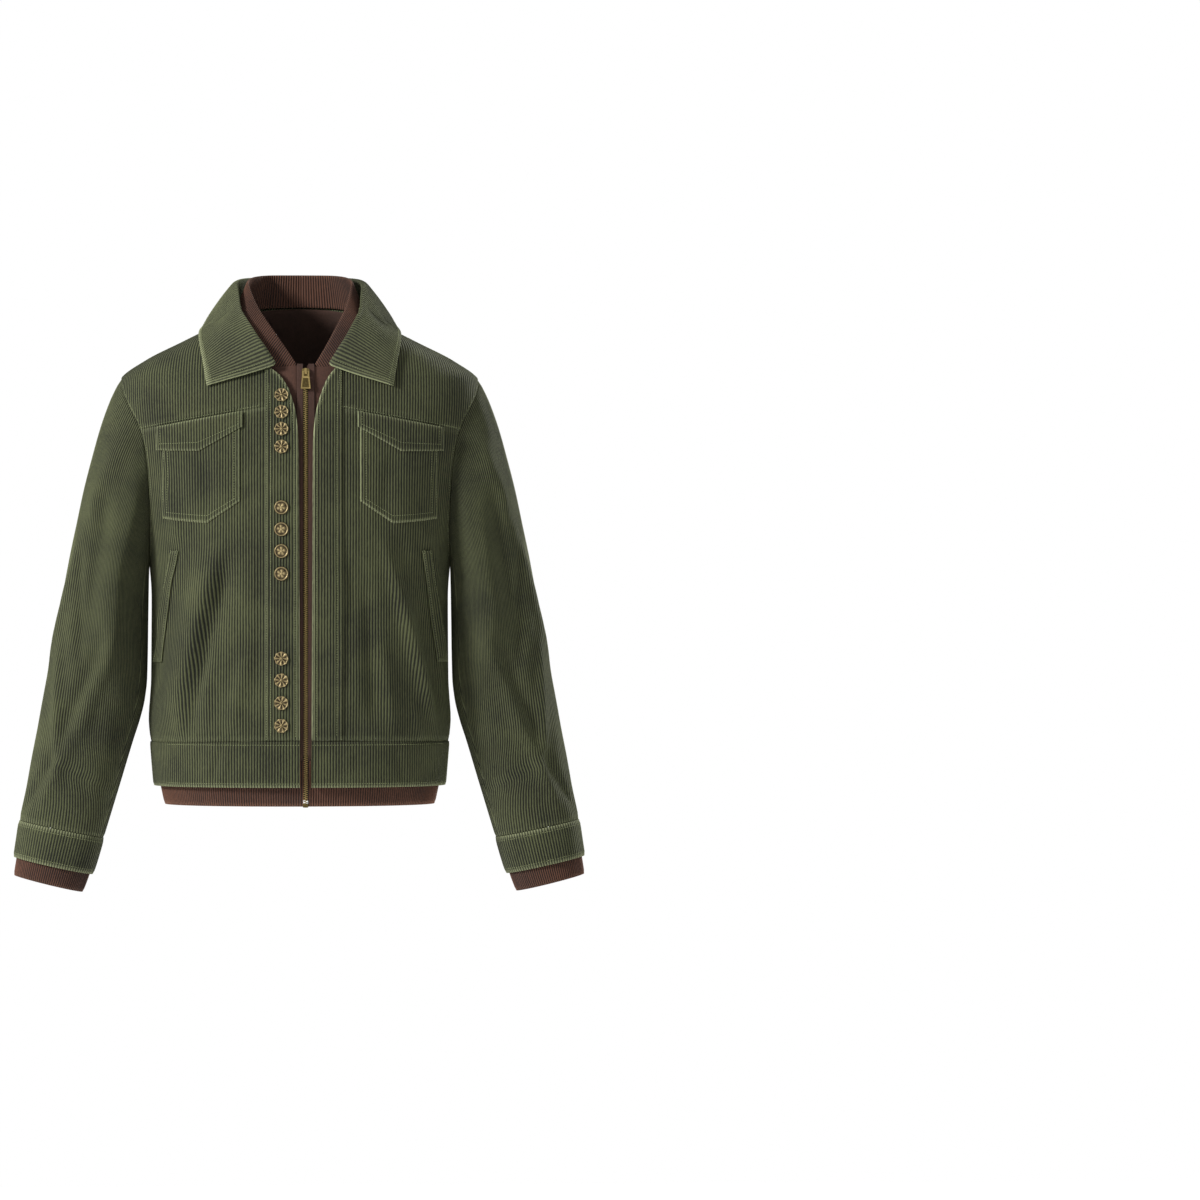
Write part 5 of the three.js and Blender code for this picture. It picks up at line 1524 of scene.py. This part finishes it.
def small_copy(name, size, round_by=None):
    """A hidden small shape to be copied: an egg, or a block with rounded edges."""
    part = bmesh.new()
    if round_by is None:
        bmesh.ops.create_icosphere(part, subdivisions=1, radius=0.5)
    else:
        bmesh.ops.create_cube(part, size=1)
    for vertex in part.verts:
        vertex.co = [vertex.co[k] * size[k] * MM for k in range(3)]
    if round_by is not None:
        bmesh.ops.bevel(part, geom=part.edges[:], offset=round_by * MM, segments=1,
                        affect="EDGES")
    mesh = bpy.data.meshes.new(name)
    part.to_mesh(mesh)
    part.free()
    return bpy.data.objects.new(name, mesh)


def body_path(x, z, face, offset, folded=True):
    low = skin(x, z, face, offset, folded)
    return low, unit(skin(x, z, face, offset + 1, folded) - low)


# %% [markdown]
# Teeth are clamped on each tape's edge in turn, so one row is half a pitch below the other. The
# chain runs on over the rib hem, which hangs farther in, down into the box.

# %% Zip teeth
TOOTH_PITCH = 2.6
CHAIN_FOOT_Z = -605
CHAIN_TOP_Z = -76
CHAIN_OFFSET = -4.4
tooth = small_copy("tooth", (1.15, 3.0, 1.9), 0.25)
rows = []
for side in (-1, 1):
    first = CHAIN_FOOT_Z + (side > 0) * TOOTH_PITCH / 2
    z = np.arange(first, CHAIN_TOP_Z, TOOTH_PITCH)
    offset = mix(rib_inset(z) + 0.4, CHAIN_OFFSET, ramp((z - RIB_TOP_Z) / 8 + 0.5))
    rows.append(body_path(OPENING_X + side * 1.15 + 0 * z, z, -1, offset, False))
copies_along("zip-chain", rows, tooth, TOOTH_PITCH, zip_brass, ["zip_chain"])

# %% [markdown]
# Seams that show are topstitched with a matching thread, 3 mm a stitch. Pockets and the placket
# seam have two rows, and the collar has one row 5.5 mm from its edge.

# %% Topstitching
stitch = small_copy("stitch", (2.3, 0.6, 0.45))
STITCH_STEP = 3.1
BAND_STITCHES = (BAND_SEAM_Z - 5, BAND_HEM_Z + 5)
CUFF_RINGS = 26
CUFF_STITCHES = (3, 22)
COLLAR_FOLD_COLUMN = 16


def sampled(grid, v, share):
    """Places on a grid at row shares v and column shares, linear between its points."""
    rows, columns = grid.shape
    r = np.clip(v, 0, 1) * (rows - 1)
    c = np.clip(share, 0, 1) * (columns - 1)
    i = np.minimum(r.astype(int), rows - 2)
    j = np.minimum(c.astype(int), columns - 2)
    f, g = r - i, c - j
    low = grid[i, j] * (1 - g) + grid[i, j + 1] * g
    high = grid[i + 1, j] * (1 - g) + grid[i + 1, j + 1] * g
    return low * (1 - f) + high * f


def inset_path(x, z, inset, sides):
    """Row and column shares of a line inset from the named sides, in order round them."""
    fx = inset / np.abs(x[0, -1] - x[0, 0])
    fz = inset / np.abs(z[-1, 0] - z[0, 0])
    corners = []
    if "start" in sides:
        corners += [(1, fx), (fz, fx)]
    if "low" in sides:
        corners += [(fz, fx), (fz, 1 - fx)]
    if "end" in sides:
        corners += [(fz, 1 - fx), (1, 1 - fx)]
    return corners


stitch_paths = []
for x, z, offset, inset, sides in outlines:
    parts = [sides] if "low" in sides else [(one,) for one in sides]
    for part in parts:
        corners = inset_path(x, z, inset, part)
        for (v0, c0), (v1, c1) in zip(corners, corners[1:]):
            if (v0, c0) == (v1, c1):
                continue
            t = np.linspace(0, 1, 60)
            v = mix(v0, v1, t)
            share = mix(c0, c1, t)
            stitch_paths.append(body_path(sampled(x, v, share), sampled(z, v, share), -1,
                                          offset - 0.05))


def seam_line(seam, face, shift, from_x, to_x):
    x = np.linspace(from_x, to_x, 90)
    return body_path(x, seam_z(seam, x) + shift, face, 0.35)


for side in (-1, 1):
    stitch_paths.append(seam_line(YOKE_SEAM_FRONT, -1, 2.2, side * 52, side * 199))
    edge_z = np.linspace(-296, -84, 90)
    for face in (-1, 1):
        stitch_paths.append(body_path(side * (armhole_x(edge_z) - 2.4), edge_z, face, 0.35))
    x = OPENING_X + side * np.linspace(9, 170, 120)
    for level in BAND_STITCHES:
        stitch_paths.append(body_path(x, level + 0 * x, -1, 1.5, False))
stitch_paths.append(seam_line(YOKE_SEAM_BACK, 1, 2.2, -199, 199))
x = np.linspace(-180, 180, 240)
for level in BAND_STITCHES:
    stitch_paths.append(body_path(x, level + 0 * x, 1, 1.5, False))
angles = np.linspace(BACK_SEAM[1] + 4, BACK_SEAM[1] + 356, 180)[None, :]
for side in (-1, 1):
    rough = sleeve_grid(side, (BACK_SEAM[0] - 4, BACK_SEAM[0] - 3),
                        (BACK_SEAM[1] - 3, BACK_SEAM[1] - 2), np.linspace(0.01, 0.99, 160))
    away = outward(rough, side)
    stitch_paths.append((rough[:, 0] + away[:, 0] * 0.3, away[:, 0]))
    ring = cuff_ring(side, CUFF_START, CUFF_END, CUFF_RINGS, angles, 1.35)
    further = cuff_ring(side, CUFF_START, CUFF_END, CUFF_RINGS, angles, 2.35)
    for row in CUFF_STITCHES:
        stitch_paths.append((ring[row], unit(further[row] - ring[row])))


def nearest(distances, wanted):
    return int(np.argmin(np.abs(distances - wanted)))


from_edge = np.linalg.norm(collar_top - collar_top[:, -1:], axis=-1)
column = nearest(from_edge.mean(axis=0), COLLAR_STITCH)
from_end = np.linalg.norm(collar_top[:, column] - collar_top[:1, column], axis=-1)
row = nearest(from_end, COLLAR_STITCH)
last = len(collar_top) - 1 - row
falls = slice(COLLAR_FOLD_COLUMN, column + 1)
for end in (row, last):
    stitch_paths.append((collar_top[end, falls], collar_normal[end, falls]))
stitch_paths.append((collar_top[row:last + 1, column], collar_normal[row:last + 1, column]))
copies_along("topstitching", stitch_paths, stitch, STITCH_STEP, thread)

# %% [markdown]
# At the end the floor goes in, far below the jacket, and the count of triangles is printed.

# %% Floor and triangle count
FLOOR_Z = -1.3
floor_mesh = bpy.data.meshes.new("floor")
floor_mesh.from_pydata([(-4, -5, FLOOR_Z), (4, -5, FLOOR_Z), (4, 2, FLOOR_Z), (-4, 2, FLOOR_Z)], [],
                       [(0, 1, 2, 3)])
floor = bpy.data.objects.new("floor", floor_mesh)
bpy.context.collection.objects.link(floor)
paper, _, paper_shader = new_material("white backdrop paper")
paper_shader.inputs["Base Color"].default_value = linear("#f4f4f2")
paper_shader.inputs["Roughness"].default_value = 0.9
floor_mesh.materials.append(paper)
triangles = sum(len(face.vertices) - 2
                for piece in made_pieces.values() for face in piece.data.polygons)
print("triangles", triangles)
